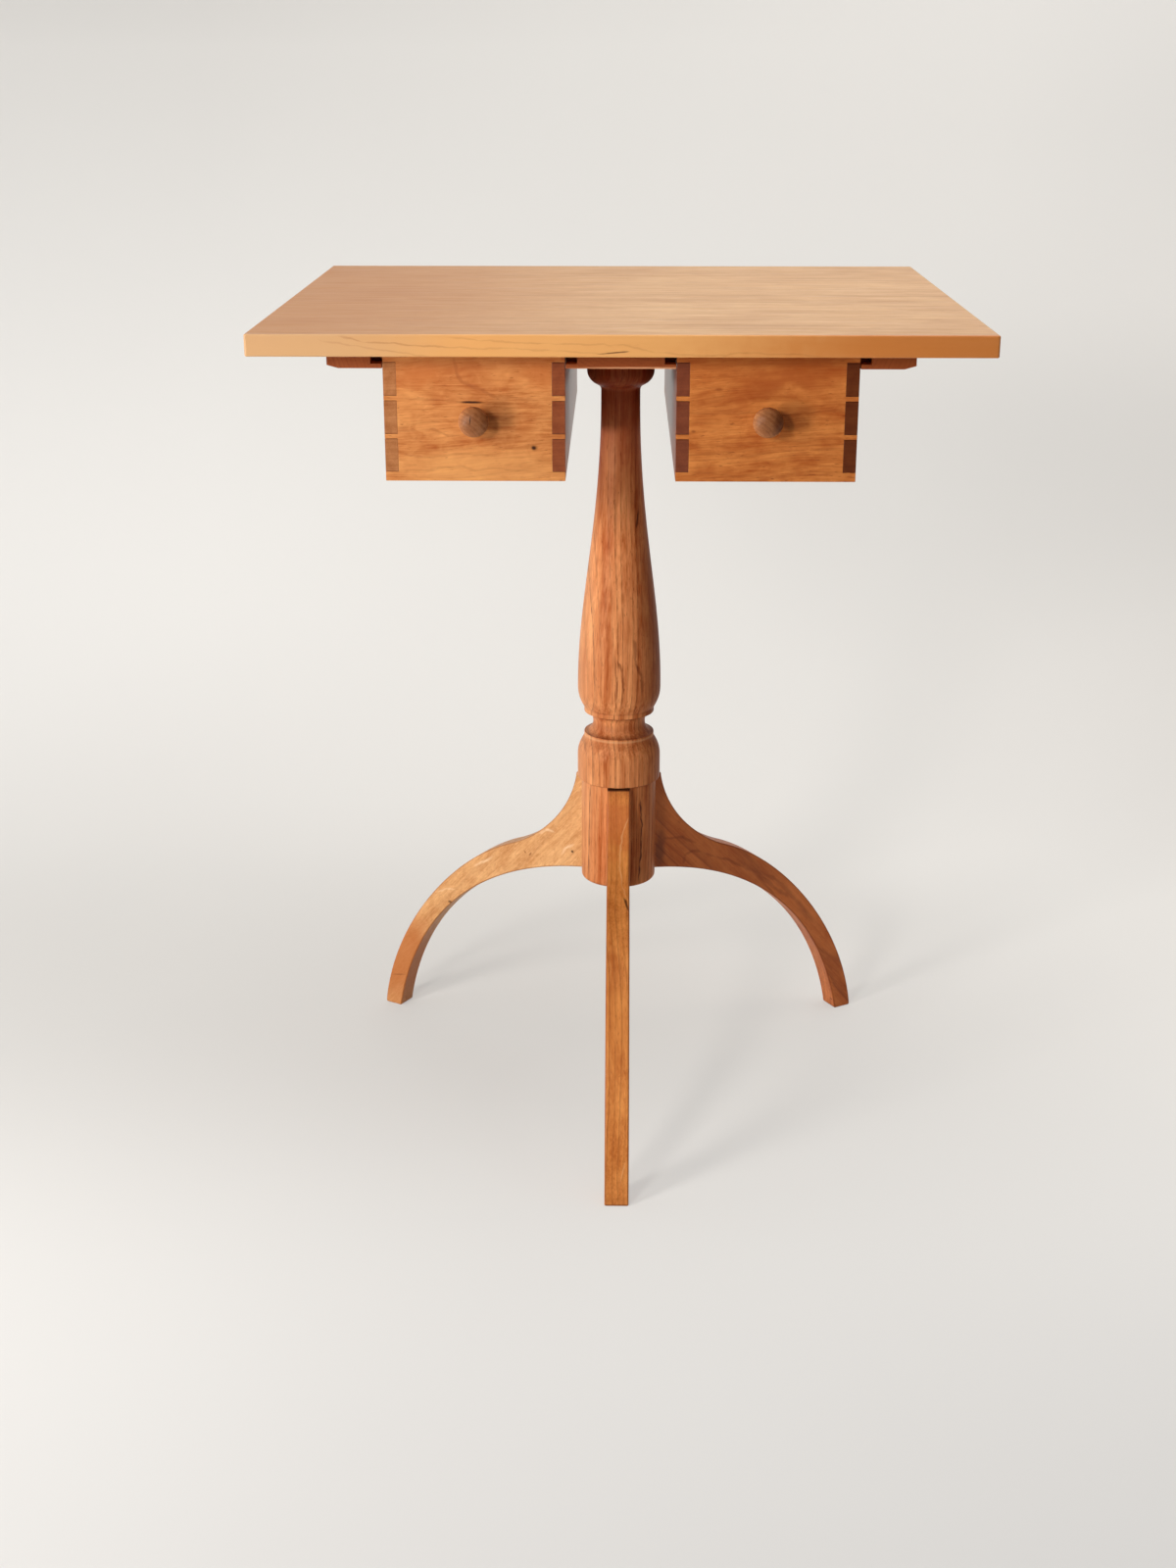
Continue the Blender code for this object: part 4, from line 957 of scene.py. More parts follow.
leg_marks_and_painted_shade = {
    "left_leg": [
        ((-0.0394, 0.0202, 0.1924), (0.0016, 0.0016, 0.0016), 0, "#3A180A", 0.9),
        ((-0.1514, 0.0848, 0.1176), (0.003, 0.003, 0.002), 0, "#4A2210", 0.85),
        ((-0.0812, 0.0443, 0.1823), (0.0022, 0.002, 0.0009), 40, "#8A4A20", 0.7),
        ((-0.0766, 0.0416, 0.1812), (0.0009, 0.002, 0.0024), 30, "#8A4A20", 0.7),
        ((-0.2, 0.117, 0.05), (0.06, 0.06, 0.075), 0, "#BE6C34", 0.75),
        *veins(left_flecks, 0.0014, FLECK, 0.01),
        *veins([(0.1145, 0.5, (-0.208, 0.0301), (-0.1972, 0.0331))], 0.0008, "#8A4A24", 0.01),
    ],
    "front_leg": [
        ((0.0, -0.05, 0.245), (0.03, 0.04, 0.035), 0, "#C4622F", 0.5),
        *veins([(-0.088, 0.85, (0.0048, 0.1925), (0.0092, 0.187))], 0.0012, GUM, 0.012),
        # Painted shade across the top of the leg, in the gap under the barrel
        ((0.0, COLUMN_Y - TIP[0], LEG_TOP_Z), (0.03, 0.03, 0.0013), 0, "#2E1208", 0.9),
        *veins(front_lines, 0.0009, PALE, 0.05),
        *veins([(-0.23, 0.4, (0.0068, 0.0346), (0.0032, 0.0201))], 0.0008, PALE, 0.02),
    ],
    "right_leg": [
        ((0.1986, 0.1161, 0.0087), (0.0022, 0.0022, 0.0008), 25, GUM, 0.8),
        *veins(right_upper, 0.0018, RED_VEIN, 0.03),
        *veins([right_knee], 0.0019, RED_VEIN, 0.03),
        *veins([right_shin], 0.0024, RED_VEIN, 0.03),
        *veins([right_arch], 0.0024, RED_VEIN, 0.04),
        ((0.0355, 0.0178, 0.195), (0.006, 0.02, 0.02), 0, "#5A2A22", 0.5),
    ],
}
print("marks on the legs:", {leg: len(marks) for leg, marks in leg_marks_and_painted_shade.items()})


# %% Turn the legs to their places
def about_column(reach, side, height, turn):
    """A point at a reach along the leg and to its side, turned about the column: straight to -Y at turn 0."""
    x = reach * math.sin(turn) + side * math.cos(turn)
    y = -reach * math.cos(turn) + side * math.sin(turn)
    return np.stack([x, y + COLUMN_Y, height], axis=-1)


# Each leg's turn, the side on which its log's pith lies, its colours, its lines and its tones. The left
# leg is pale and curly, the front one golden with broad clouds, and the right one deep red.
LEGS = {
    "front_leg": (
        0.0, 0.06, ("#EA9A50", "#BA6628", "#7A3A16"), {"ring": 0.7, "pore": 0.6},
        {"season": 0.6, "fibre": 0.7, "streak": 0.6, "cloud": 0.8, "mottle": 0.5},
    ),
    "right_leg": (
        THIRD, 0.05, ("#DA8246", "#B25A28", "#6E2C12"), {"ring": 0.6, "pore": 0.45},
        {"season": 0.7, "fibre": 0.6, "streak": 0.6, "cloud": 0.8, "mottle": 0.4},
    ),
    "left_leg": (
        -THIRD, -0.07, ("#F3BF86", "#BF7C42", "#9A5A2C"), {"ring": 0.3, "pore": 0.35},
        {"season": 0.3, "fibre": 0.45, "streak": 0.3, "cloud": 0.5, "mottle": 0.4, "curl": 0.6},
    ),
}
for node, (turn, pith_side, colours, lines, tones) in LEGS.items():
    leg_cherry = wood_finish(
        f"sawn_cherry_{node}_satin_oil",
        grain=about_column(TOE[0], 0, TOE[1], turn) - about_column(LEG_HEAD[0], 0, LEG_HEAD[1], turn),
        pith=about_column(LEG_PITH[0], pith_side, LEG_PITH[1], turn),
        ring_mm=4.4,
        colours=colours,
        bend_mm=6,
        lines=lines,
        tones=tones,
        marks=leg_marks_and_painted_shade[node],
    )
    board = about_column(leg_rings[..., 0], leg_rings[..., 2], leg_rings[..., 1], turn)
    tongue = about_column(tongue_rings[..., 0], tongue_rings[..., 1], tongue_rings[..., 2], turn)
    make_piece(node, [board, tongue], [leg_edge_wear_and_shade, tongue_edge_wear_and_shade], leg_cherry)

# %% [markdown]
# ## The drawers
#
# Each drawer is a cherry front and back joined to walnut sides with through dovetails: three walnut tails
# show on the front as dark blocks between thin cherry pins. The side is a board whose outline has the
# tails at both ends. The front is a board whose outline has the matching sockets, wider on the face than
# inside, so its outline changes from one face to the other. The two then fit as they do on the bench.

# %% Sizes of the joint
DRAWER_EASE = 0.00012
JOINT_CORNER = 0.00035
JOINT_GAP = 0.00006
TAIL_COUNT = 3
HALF_PIN = 0.0065
PIN_WIDTH = 0.0034
TAIL_SLOPE = 1 / 7


def tail_heights(low_z, high_z):
    """Lower and upper edge of each tail on the drawer's face, from the bottom up."""
    width = (high_z - low_z - 2 * HALF_PIN - (TAIL_COUNT - 1) * PIN_WIDTH) / TAIL_COUNT
    low = low_z + HALF_PIN + np.arange(TAIL_COUNT) * (width + PIN_WIDTH)
    return np.stack([low, low + width], axis=-1)


# %% Outlines of a side and of an end
def side_outline(face, shoulder, low_z, high_z):
    """A drawer side in (y, z), anticlockwise: tails that reach the faces at -face and +face."""
    tails = tail_heights(low_z, high_z)
    narrow = (face - shoulder) * TAIL_SLOPE
    steps = np.array([(-shoulder, narrow), (-face, 0), (-face, 0), (-shoulder, -narrow)])
    front = np.stack(np.broadcast_arrays(steps[:, 0], tails[:, [0, 0, 1, 1]] + steps[:, 1]), axis=-1)
    front = np.concatenate([[(-shoulder, low_z)], front.reshape(-1, 2), [(-shoulder, high_z)]])
    back = front[::-1] * (-1, 1)
    return np.concatenate([front, back])[::-1]


def end_outline(half, depth, narrow, low_z, high_z):
    """A drawer end in (x, z), anticlockwise: sockets of a depth in both edges, each narrowed by narrow."""
    tails = tail_heights(low_z, high_z) + np.array([narrow - JOINT_GAP, JOINT_GAP - narrow])
    steps = np.array([half, half - depth, half - depth, half])
    right = np.stack(np.broadcast_arrays(steps, tails[:, [0, 0, 1, 1]]), axis=-1).reshape(-1, 2)
    right = np.concatenate([[(half, low_z)], right, [(half, high_z)]])
    left = right[::-1] * (-1, 1)
    return np.concatenate([right, left])


front_low, front_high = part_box("left_drawer_front")
print("tails in mm:", np.round(1000 * tail_heights(0, front_high.z - front_low.z), 1).tolist())

# %% Marks on the drawer fronts
FRONT_Y = front_low.y
LEFT_VEIN, RIGHT_VEIN = "#8E4420", "#8A4218"
swirl = [(-0.1146, 0.6394), (-0.1131, 0.6291), (-0.1099, 0.6248), (-0.1033, 0.621), (-0.0957, 0.6187)]
swirl += [(-0.091, 0.6159), (-0.0863, 0.6138), (-0.0758, 0.6135), (-0.06, 0.6116)]
wave = [(-0.1547, 0.5905), (-0.1413, 0.5904), (-0.1317, 0.5917), (-0.1269, 0.5896)]
wave += [(-0.1212, 0.587), (-0.1126, 0.5867)]
gum_line = [(-0.1502, 0.6124), (-0.1292, 0.612), (-0.1149, 0.6109)]
third = [(-0.1504, 0.5732), (-0.1331, 0.5716), (-0.1119, 0.5743), (-0.0898, 0.573)]
lowest = [(-0.1522, 0.5625), (-0.1353, 0.5627), (-0.1198, 0.5652), (-0.1101, 0.5652)]
lowest += [(-0.1025, 0.5626), (-0.087, 0.5641), (-0.0581, 0.5615)]
right_low = [(0.049, 0.5623), (0.0803, 0.5591), (0.106, 0.5587), (0.1297, 0.5625), (0.1535, 0.5617)]
right_wave = [(0.0497, 0.5747), (0.0744, 0.5748), (0.0891, 0.573), (0.1109, 0.5777), (0.129, 0.5764)]
right_wave += [(0.1519, 0.5796)]
thin_lines = [(FRONT_Y, 0.28, *wave), (FRONT_Y, 0.25, *gum_line), (FRONT_Y, 0.2, *third)]
front_marks_and_painted_light = {
    "left": [
        ((-0.139, FRONT_Y, 0.63), (0.022, 0.004, 0.012), -15, "#B9632C", 0.55),
        ((-0.057, FRONT_Y, 0.628), (0.016, 0.004, 0.014), 30, "#B9632C", 0.5),
        # A paler band along the bottom is painted light from the bright floor, and a wide band along the top
        # is painted shade under the top's overhang
        ((-0.104, FRONT_Y, 0.565), (0.08, 0.004, 0.016), 0, "#E2A261", 0.45),
        ((-0.104, FRONT_Y, 0.644), (0.1, 0.004, 0.026), 0, "#B0602C", 0.4),
        *veins([(FRONT_Y, 0.28, *swirl)], 0.0018, LEFT_VEIN),
        *veins(thin_lines, 0.0012, LEFT_VEIN),
        *veins([(FRONT_Y, 0.16, *lowest)], 0.0013, LEFT_VEIN),
        ((-0.1040, FRONT_Y, 0.6102), (0.0105, 0.003, 0.0011), 1, "#2A100A", 0.95),
        ((-0.0600, FRONT_Y, 0.5783), (0.0032, 0.003, 0.0027), 20, "#8A4A22", 0.6),
        ((-0.0603, FRONT_Y, 0.5784), (0.0021, 0.003, 0.0018), 20, "#2E140A", 0.95),
    ],
    "right": [
        ((0.0977, FRONT_Y, 0.6191), (0.024, 0.004, 0.008), -12, "#A3501E", 0.6),
        ((0.1085, FRONT_Y, 0.6265), (0.03, 0.004, 0.009), 0, "#A85420", 0.5),
        ((0.0838, FRONT_Y, 0.611), (0.009, 0.004, 0.006), 30, "#A85420", 0.5),
        ((0.135, FRONT_Y, 0.63), (0.03, 0.004, 0.02), 0, "#A4501C", 0.45),
        ((0.0679, FRONT_Y, 0.6194), (0.004, 0.004, 0.0016), 0, "#8A4216", 0.6),
        ((0.0508, FRONT_Y, 0.5903), (0.0022, 0.004, 0.0012), 0, "#7A3A14", 0.6),
        # Painted shade under the top's overhang
        ((0.104, FRONT_Y, 0.644), (0.1, 0.004, 0.026), 0, "#9A4A18", 0.45),
        *veins([(FRONT_Y, 0.2, *right_low)], 0.0013, RIGHT_VEIN),
        *veins([(FRONT_Y, 0.2, *right_wave)], 0.0014, RIGHT_VEIN),
    ],
}
print("marks on the fronts:", {hand: len(marks) for hand, marks in front_marks_and_painted_light.items()})

# %% The drawers' woods
# Cherry with wide soft clouds and short pores. The left front is the paler of the two.
FRONT_WOODS = {
    "left": (("#E8A360", "#A85420", "#8A4620"), (0.0, -0.125, 0.615)),
    "right": (("#E0904A", "#A24C16", "#7A3814"), (0.0, -0.11, 0.64)),
}
front_cherry = {}
for hand, (colours, pith) in FRONT_WOODS.items():
    front_cherry[hand] = wood_finish(
        f"planed_cherry_{hand}_drawer_satin_oil",
        grain=(1, 0, 0.03),
        pith=pith,
        ring_mm=3.4,
        colours=colours,
        bend_mm=16,
        lines={"ring": 0.4, "pore": 0.75},
        tones={"season": 0.4, "fibre": 0.6, "streak": 0.4, "cloud": 0.75, "mottle": 0.5},
        dashed=0.5,
        marks=front_marks_and_painted_light[hand],
    )

# Walnut, browner and darker than the cherry, with all its shine in the film of oil: the inner sides, which
# face the gap between the drawers, are the glossiest. From the far left to the far right the four sides are
# painted darker step by step: lit and shaded copies of one walnut, painted light and shade that follow the
# light from the left.
SIDE_WOODS_LIT_TO_SHADED = {
    "left_drawer_outer_side": ("#C48656", "#A06238", "#6A3C20"),
    "left_drawer_inner_side": ("#9E542D", "#823B19", "#4E2410"),
    "right_drawer_inner_side": ("#8A4628", "#703116", "#3E1C10"),
    "right_drawer_outer_side": ("#723918", "#5C270C", "#361406"),
}
side_walnut = {}
for side, colours in SIDE_WOODS_LIT_TO_SHADED.items():
    side_walnut[side] = wood_finish(
        f"planed_walnut_{side}_satin_oil",
        grain=(0, 1, 0),
        pith=(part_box(side)[0].x, 0, 0.74),
        ring_mm=2.4,
        colours=colours,
        bend_mm=3,
        lines={"ring": 0.35, "pore": 0.35},
        tones={"season": 0.6, "fibre": 0.4, "streak": 0.7, "cloud": 0.6, "mottle": 0.4},
        soak=0.15,
        rough=0.3,
        gloss=0.0,
        oil=0.9 if "inner" in side else 0.4,
    )

# Poplar for the bottoms: pale, yellowish and plain
bottom_poplar = wood_finish(
    "planed_poplar_oil",
    grain=(1, 0, 0),
    pith=(0, 0, 0.42),
    ring_mm=3.5,
    colours=("#DECD9D", "#B69768", "#8E7A50"),
    bend_mm=5,
    lines={"ring": 0.3, "pore": 0.1},
    tones={"season": 0.4, "fibre": 0.3, "streak": 0.3},
    rough=0.5,
)
print("woods:", *front_cherry, *side_walnut, bottom_poplar.name)

# %% Build both drawers' boxes
FLANGE_CORNER = 0.0008
BOTTOM_CORNER = 0.001
THIN_EASE = 0.0004
for hand in ("left", "right"):
    front_low, front_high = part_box(f"{hand}_drawer_front")
    back_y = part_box(f"{hand}_drawer_back")[1].y
    middle_x, middle_y = (front_low.x + front_high.x) / 2, (front_low.y + back_y) / 2
    half = (front_high.x - front_low.x) / 2
    thick = front_high.y - front_low.y
    face = back_y - middle_y
    low_z, high_z = front_low.z, front_high.z
    side_low, side_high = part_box(f"{hand}_drawer_inner_side")
    depth = side_high.x - side_low.x + JOINT_GAP
    for place in ("inner", "outer"):
        side = f"{hand}_drawer_{place}_side"
        low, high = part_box(side)
        outline = side_outline(face, face - thick - JOINT_GAP, low_z, high_z)
        outline = rounded_outline(outline, JOINT_CORNER) + (middle_y, 0)
        rings, edge_wear_and_shade = eased_board(outline, outline, low.x, high.x, DRAWER_EASE)
        make_piece(side, [stood(rings, "yzx")], [edge_wear_and_shade], side_walnut[side])
        flange = f"{hand}_drawer_{place}_flange"
        straight_board(flange, "xzy", FLANGE_CORNER, THIN_EASE, runner_cherry)
    wide = end_outline(half, depth, 0, low_z, high_z)
    narrow = end_outline(half, depth, thick * TAIL_SLOPE, low_z, high_z)
    wide = rounded_outline(wide, JOINT_CORNER) + (middle_x, 0)
    narrow = rounded_outline(narrow, JOINT_CORNER) + (middle_x, 0)
    ends = {
        "front": (wide, narrow, front_low.y, front_low.y + thick),
        "back": (narrow, wide, back_y - thick, back_y),
    }
    for place, (first, last, start_y, end_y) in ends.items():
        rings, edge_wear_and_shade = eased_board(first, last, start_y, end_y, DRAWER_EASE)
        make_piece(f"{hand}_drawer_{place}", [stood(rings, "xzy")], [edge_wear_and_shade], front_cherry[hand])
    straight_board(f"{hand}_drawer_bottom", "xyz", BOTTOM_CORNER, THIN_EASE, bottom_poplar)

# %% [markdown]
# ## The knobs
#
# The knobs are small mushrooms turned in walnut with the grain along the knob, so their domes show end
# grain: rings round the pith, and on one of them the fine split that a pith often brings. The right front
# knob has painted shade over the right side of its dome, away from the light. The profile is an ellipse for
# the dome, a curve under it, a flared foot, and a round tenon that goes right through the drawer front.

# %% The knob's profile
KNOB_STEPS = 64
KNOB_RADIUS = 0.0105
KNOB_NECK = 0.0052
KNOB_FOOT = 0.0066
KNOB_TENON = 0.004
KNOB_CHAMFER = 0.0004
KNOB_REACH = 0.0195
KNOB_RIM = 0.0128
KNOB_STEM = 0.0045
KNOB_PITH = (-0.002, 0.001)


def knob_profile(through):
    """The knob's (radius, reach out of the drawer), from the dome's middle to the end of the tenon."""
    rim, neck = (KNOB_RADIUS, KNOB_RIM), (KNOB_NECK, KNOB_STEM)
    dome = arc((0, KNOB_RIM), KNOB_RADIUS, KNOB_REACH - KNOB_RIM, 89, 0, 30)
    under = bezier(rim, (0, -0.4 * KNOB_RIM), (0, 0.45 * KNOB_RIM), neck, 24)
    foot = bezier(neck, (0, -0.5 * KNOB_STEM), (0, 0.3 * KNOB_STEM), (KNOB_FOOT, 0), 12)
    tenon = [(KNOB_TENON, -SUPPORT), (KNOB_TENON, -through), (KNOB_TENON - KNOB_CHAMFER, -through - SUPPORT)]
    return np.concatenate([dome, under[1:], foot[1:], tenon])


# %% Turn the knobs
# The marks on a knob: place from the tip of the dome, half sizes, lean, colour and strength
KNOB_MARKS_AND_PAINTED_SHADE = {
    "left_front_knob": [((-0.0018, 0, 0.0022), (0.00055, 0.006, 0.004), 4, "#20100A", 0.9)],
    # Painted shade over the right side of the dome, away from the light
    "right_front_knob": [((0.0075, 0, -0.001), (0.006, 0.02, 0.011), 0, "#5A2812", 0.6)],
}
around = np.linspace(0, 2 * math.pi, KNOB_STEPS, endpoint=False)[None]
for hand in ("left", "right"):
    for place, sign in (("front", -1), ("back", 1)):
        node = f"{hand}_{place}_knob"
        low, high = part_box(node)
        out_y = low.y if sign < 0 else high.y
        dome = Vector(((low.x + high.x) / 2, out_y, (low.z + high.z) / 2))
        foot_y = out_y - sign * KNOB_REACH
        profile = knob_profile(high.y - low.y - KNOB_REACH + SUPPORT)
        radius, reach = profile[:, 0, None], profile[:, 1, None]
        x = dome.x + radius * np.cos(around)
        z = dome.z + radius * np.sin(around)
        rings = np.stack([x, np.broadcast_to(foot_y + sign * reach, x.shape), z], axis=-1)
        marks = [(dome + Vector(at), *rest) for at, *rest in KNOB_MARKS_AND_PAINTED_SHADE.get(node, [])]

        # A light walnut with strong rings: end grain on the dome, and a soft shine from handling
        knob_walnut = wood_finish(
            f"turned_walnut_{node}_satin_oil",
            grain=(0.05, 1, 0.08),
            pith=(dome.x + KNOB_PITH[0], 0, dome.z + KNOB_PITH[1]),
            ring_mm=2.6,
            colours=("#D29464", "#8C4A20", "#4A2010"),
            bend_mm=2,
            lines={"ring": 0.55, "pore": 0.35},
            tones={"season": 0.9, "fibre": 0.3, "cloud": 0.6, "mottle": 0.5},
            marks=marks,
            rough=0.38,
            gloss=0.15,
        )
        make_piece(node, [rings], [np.zeros(rings.shape[:2])], knob_walnut)

# %% [markdown]
# ## Brass screws and the wedge
#
# The screws that hold the runners are small countersunk brass ones, and they keep their CAD shapes.
# Turned brass is a yellow metal, dulled by handling: patches of tarnish are browner and rougher, and a
# fine grain breaks up its shine. The wedge that spreads the column's tenon is walnut.

# %% Finish the screws and the wedge
TARNISH_MM = 3
GRAIN_MM = 0.4
brass = bpy.data.materials.new("turned_brass_dulled")
tree = bare_tree(brass)
place = add(tree, "TexCoord").outputs["Object"]
tarnish = add(tree, "TexNoise", {"Vector": place, "Scale": 1000 / TARNISH_MM, "Detail": 3.0})
metal = add(tree, "ValToRGB", {"Fac": tarnish})
set_ramp(metal, [(0.35, linear("#D9B15E")), (0.7, linear("#8A6427"))])
rough = add(tree, "MapRange", {"Value": tarnish, "To Min": 0.25, "To Max": 0.5})
fine = add(tree, "TexNoise", {"Vector": place, "Scale": 1000 / GRAIN_MM})
bump = add(tree, "Bump", {"Height": fine, "Strength": 0.3, "Distance": 0.00003})
shader = {"Base Color": metal, "Roughness": rough, "Metallic": 1.0, "Normal": bump}
add(tree, "OutputMaterial", {"Surface": add(tree, "BsdfPrincipled", shader)})
screws = [node for node in frame["nodes"] if "_screw_" in node]
for node in screws:
    frame["nodes"][node].material_slots[0].material = brass
frame["nodes"]["tenon_wedge"].material_slots[0].material = side_walnut["left_drawer_inner_side"]
print(len(screws), "screws in", brass.name)

# %% [markdown]
# ## The paper sweep
#
# The stand is photographed on a wide roll of off-white paper that curves up behind it. Here the paper is
# one sheet: flat, then a quarter round, then upright. Its back is see-through, so the other views can
# look in from behind. To the camera the paper also glows a little, in soft pools along its run, which
# keeps it pale without more light on the stand, and the shadows stay. Far from the stand it fades into
# the colour of the world, so that no view shows where the sheet ends.

# %% Make the sweep
SWEEP_START_Y = 0.42
SWEEP_RADIUS = 0.8
SWEEP_HALF = 6.0
SWEEP_TOP = 4
floor_line = np.stack([np.linspace(-SWEEP_HALF, SWEEP_START_Y, 20), np.zeros(20)], axis=-1)
curve_line = arc((SWEEP_START_Y, SWEEP_RADIUS), SWEEP_RADIUS, SWEEP_RADIUS, -90, 0, 40)[1:]
wall_line = np.stack([np.full(10, curve_line[-1, 0]), np.linspace(SWEEP_RADIUS, SWEEP_TOP, 11)[1:]], axis=-1)
line = np.concatenate([floor_line, curve_line, wall_line])
across = np.linspace(-SWEEP_HALF, SWEEP_HALF, 25)
x, y = np.meshgrid(across, line[:, 0])
z = np.meshgrid(across, line[:, 1])[1]
rows, columns = x.shape
corner = (np.arange(rows - 1)[:, None] * columns + np.arange(columns - 1)).reshape(-1)
faces = np.stack([corner, corner + 1, corner + columns + 1, corner + columns], axis=-1)
sheet = bpy.data.meshes.new("paper_sweep")
sheet.from_pydata(np.stack([x, y, z], axis=-1).reshape(-1, 3), [], faces.tolist())
sheet.shade_smooth()
step = np.linalg.norm(np.diff(line, axis=0, prepend=line[:1]), axis=1)
run = np.cumsum(step) - (SWEEP_START_Y - line[0, 0])
attribute = sheet.attributes.new("run", "FLOAT", "POINT")
attribute.data.foreach_set("value", np.repeat(run, columns).astype(np.float32))
sweep = bpy.data.objects.new("paper_sweep", sheet)
bpy.context.scene.collection.objects.link(sweep)
print("sweep of", len(faces), "faces, upright at y =", round(float(line[-1, 0]), 2))

# %% The paper's colour and its glow
# Levels of the glow at places along the run, which is 0 where the sheet starts to curve. A warm level
# has a little less green and blue.
GLOW_START, GLOW_END = -1.2, 1.4
GLOW = {
    "left": ((-1.0, 0.66), (-0.7, 0.89), (-0.35, 0.51), (0.1, 0.65), (0.62, 1.06), (1.3, 0.68)),
    "right": ((-1.0, 0.58), (-0.65, 0.86), (-0.3, 0.80), (0.15, 0.86), (0.75, 0.73), (1.2, 0.92)),
}
GLOW_LEFT_X, GLOW_RIGHT_X = -0.55, 0.5
WARMTH = (0.0, 0.6, 1.0, 1.0, 1.0, 1.0)
WARM_GREEN, WARM_BLUE = 0.015, 0.05
SHEET_MM = 500
HORIZON = "#E6E3DD"

# A matt white sheet with no shine. Light that it throws on to the stand comes from a greyer one.
paper = bpy.data.materials.new("matt_paper")
tree = bare_tree(paper)
place = add(tree, "TexCoord").outputs["Object"]
ray = add(tree, "LightPath").outputs
sheet_tone = add(tree, "TexNoise", {"Vector": place, "Scale": 1000 / SHEET_MM, "Detail": 2.0})
tone = add(tree, "ValToRGB", {"Fac": sheet_tone})
set_ramp(tone, [(0.2, linear("#E6E4E1")), (0.8, linear("#EAE9E6"))])
dim = {0: ray["Is Diffuse Ray"], 6: tone, 7: linear("#C2BFBA")}
dim = add(tree, "Mix", dim, data_type="RGBA")
matt = add(tree, "BsdfDiffuse", {"Color": dim, "Roughness": 0.5})
run = add(tree, "Attribute", attribute_name="run").outputs["Fac"]
run = add(tree, "MapRange", {"Value": run, "From Min": GLOW_START, "From Max": GLOW_END})
pools = {}
for side, levels in GLOW.items():
    stops = []
    for (at, level), warm in zip(levels, WARMTH):
        colour = (level, level * (1 - WARM_GREEN * warm), level * (1 - WARM_BLUE * warm), 1)
        stops.append(((at - GLOW_START) / (GLOW_END - GLOW_START), colour))
    pools[side] = add(tree, "ValToRGB", {"Fac": run})
    pools[side].color_ramp.interpolation = "B_SPLINE"
    set_ramp(pools[side], stops)
lean = add(tree, "SeparateXYZ", {"Vector": place}).outputs["X"]
lean = add(tree, "MapRange", {"Value": lean, "From Min": GLOW_LEFT_X, "From Max": GLOW_RIGHT_X})
glow = add(tree, "Mix", {0: lean, 6: pools["left"], 7: pools["right"]}, data_type="RGBA")
print("glow of", paper.name, "along", GLOW_START, "to", GLOW_END, "m")

# %% Fade the far floor, and put the paper together
STAGE_SHIFT, STAGE_SCALE = (0, -0.38, 0), (1.0, 0.94, 0.0)
FADE_START, FADE_END = 1.1, 1.5
GLOW_SHARE = 0.55
near = add(tree, "Mapping", {"Vector": place, "Location": STAGE_SHIFT, "Scale": STAGE_SCALE})
far = add(tree, "VectorMath LENGTH", (near,))
far = {"Value": far, "From Min": FADE_START, "From Max": FADE_END}
far = add(tree, "MapRange", far, interpolation_type="SMOOTHSTEP")
far = add(tree, "Math MULTIPLY", (far, ray["Is Camera Ray"]))
glow = add(tree, "Mix", {0: far, 6: glow, 7: linear(HORIZON)}, data_type="RGBA")
shine = add(tree, "Emission", {"Color": glow, "Strength": 1.0})
seen = (ray["Is Camera Ray"], ray["Is Glossy Ray"])
seen = add(tree, "Math MAXIMUM", seen)
seen = add(tree, "Math MAXIMUM", (seen, ray["Is Transmission Ray"]))
share = add(tree, "Math MULTIPLY", (seen, GLOW_SHARE))
share = add(tree, "Math MULTIPLY_ADD", (far, 1 - GLOW_SHARE, share))
front = add(tree, "MixShader", (share, matt, shine))
clear = add(tree, "BsdfTransparent")
back = add(tree, "NewGeometry").outputs["Backfacing"]
both = add(tree, "MixShader", (back, front, clear))
add(tree, "OutputMaterial", {"Surface": both})
sheet.materials.append(paper)
print("paper", paper.name)

# %% [markdown]
# ## Light and camera
#
# Most of the light comes from the left in front, so shadows fall to the right and the right sides of the
# column and legs go dark. Two small panes, one above the other, give each knob its double shadow, and a
# lamp nearer the camera draws the legs' shadows on the floor. A pale wall softens the left, a weak warm
# room fills the right, and a wide soft ceiling lights the top and the paper. The world adds a little even
# light. The camera stands where the photographer stood: the place, tilt and lens come from fitting the
# stand's known corners to the picture.

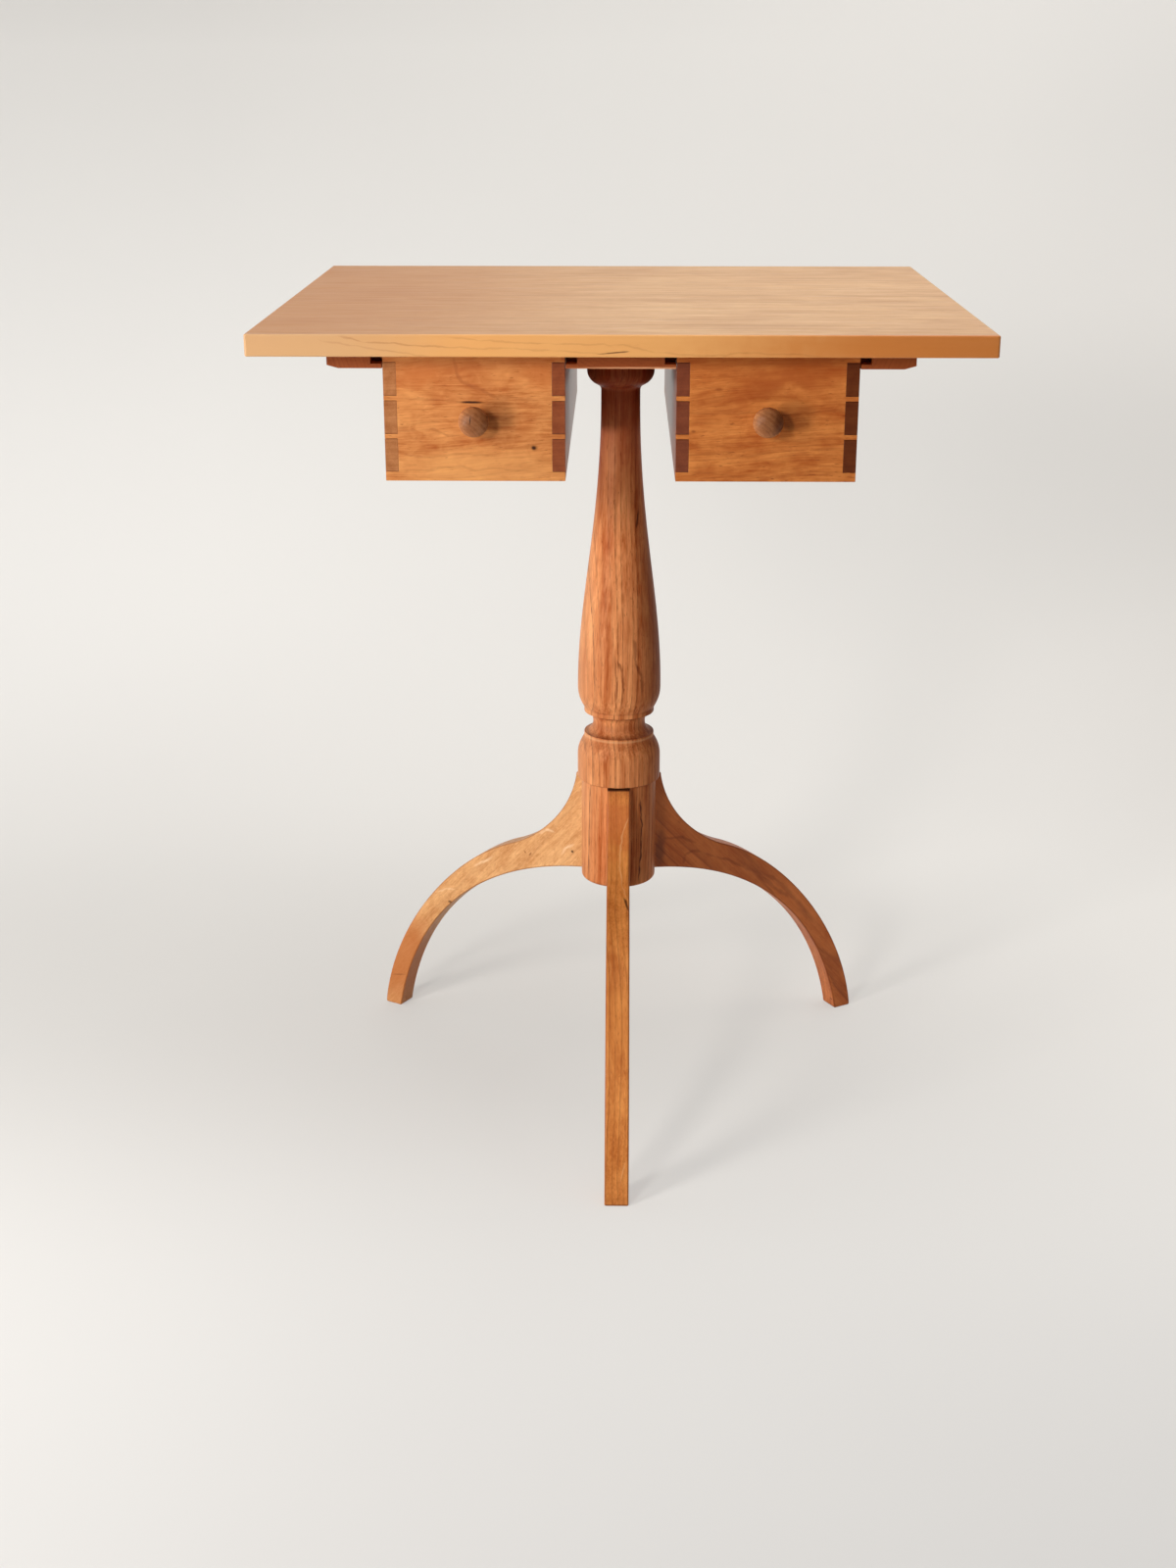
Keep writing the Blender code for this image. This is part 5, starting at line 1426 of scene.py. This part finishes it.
# %% Lamps and world
# Each lamp's place, the point it looks at, its size across, its power in watts and its colour
LAMPS = {
    "window_low": ((-1.2, -1.1, 0.42), (0.0, 0.0, 0.5), 0.35, 11.0, "#FFFAF4"),
    "window_high": ((-1.2, -1.1, 1.0), (0.0, 0.0, 0.5), 0.35, 7.0, "#FFFAF4"),
    "pale_wall_left": ((-1.5, 0.2, 0.55), (0.0, 0.0, 0.45), 1.2, 4.5, "#FAFAFF"),
    "lamp_front_left": ((-0.8, -1.7, 1.1), (0.0, 0.0, 0.3), 0.34, 11.0, "#FFFAF4"),
    "warm_room_right": ((1.5, 0.3, 0.5), (0.0, 0.0, 0.25), 0.5, 1.8, "#FFC896"),
    "soft_ceiling": ((0.3, 0.2, 2.4), (0.1, 0.0, 0.5), 2.2, 40.0, "#FFFDFA"),
}
for name, (stand, aim, size, power, colour) in LAMPS.items():
    lamp = bpy.data.lights.new(name, "AREA")
    lamp.shape = "DISK"
    lamp.size = size
    lamp.energy = power
    lamp.color = linear(colour)[:3]
    holder = bpy.data.objects.new(name, lamp)
    holder.location = stand
    holder.rotation_euler = (Vector(aim) - Vector(stand)).to_track_quat("-Z", "Y").to_euler()
    holder.visible_camera = False
    bpy.context.scene.collection.objects.link(holder)
    print(f"{name}: {power} W, {size} m across")

world = bpy.data.worlds.new("even_room_light")
bpy.context.scene.world = world
tree = bare_tree(world)
room = add(tree, "Background", {"Color": linear("#F4F2EE"), "Strength": 0.06})
pale = add(tree, "Background", {"Color": linear(HORIZON), "Strength": 1.0})
camera_ray = add(tree, "LightPath").outputs["Is Camera Ray"]
add(tree, "OutputWorld", {"Surface": add(tree, "MixShader", (camera_ray, room, pale))})

# %% Camera
PHOTO_TALL = 1600
FOCAL_PIXELS = 2094.85
camera_data = bpy.data.cameras.new("camera")
camera_data.sensor_width = 36
camera_data.lens = FOCAL_PIXELS * camera_data.sensor_width / PHOTO_TALL
camera = bpy.data.objects.new("camera", camera_data)
camera.location = (-0.0002, -1.6163, 0.8430)
camera.rotation_euler = (math.radians(70.21), 0, math.radians(0.902))
bpy.context.scene.collection.objects.link(camera)
bpy.context.scene.camera = camera
bpy.context.scene.view_settings.view_transform = "Standard"
print("lens", round(camera_data.lens, 2), "mm")
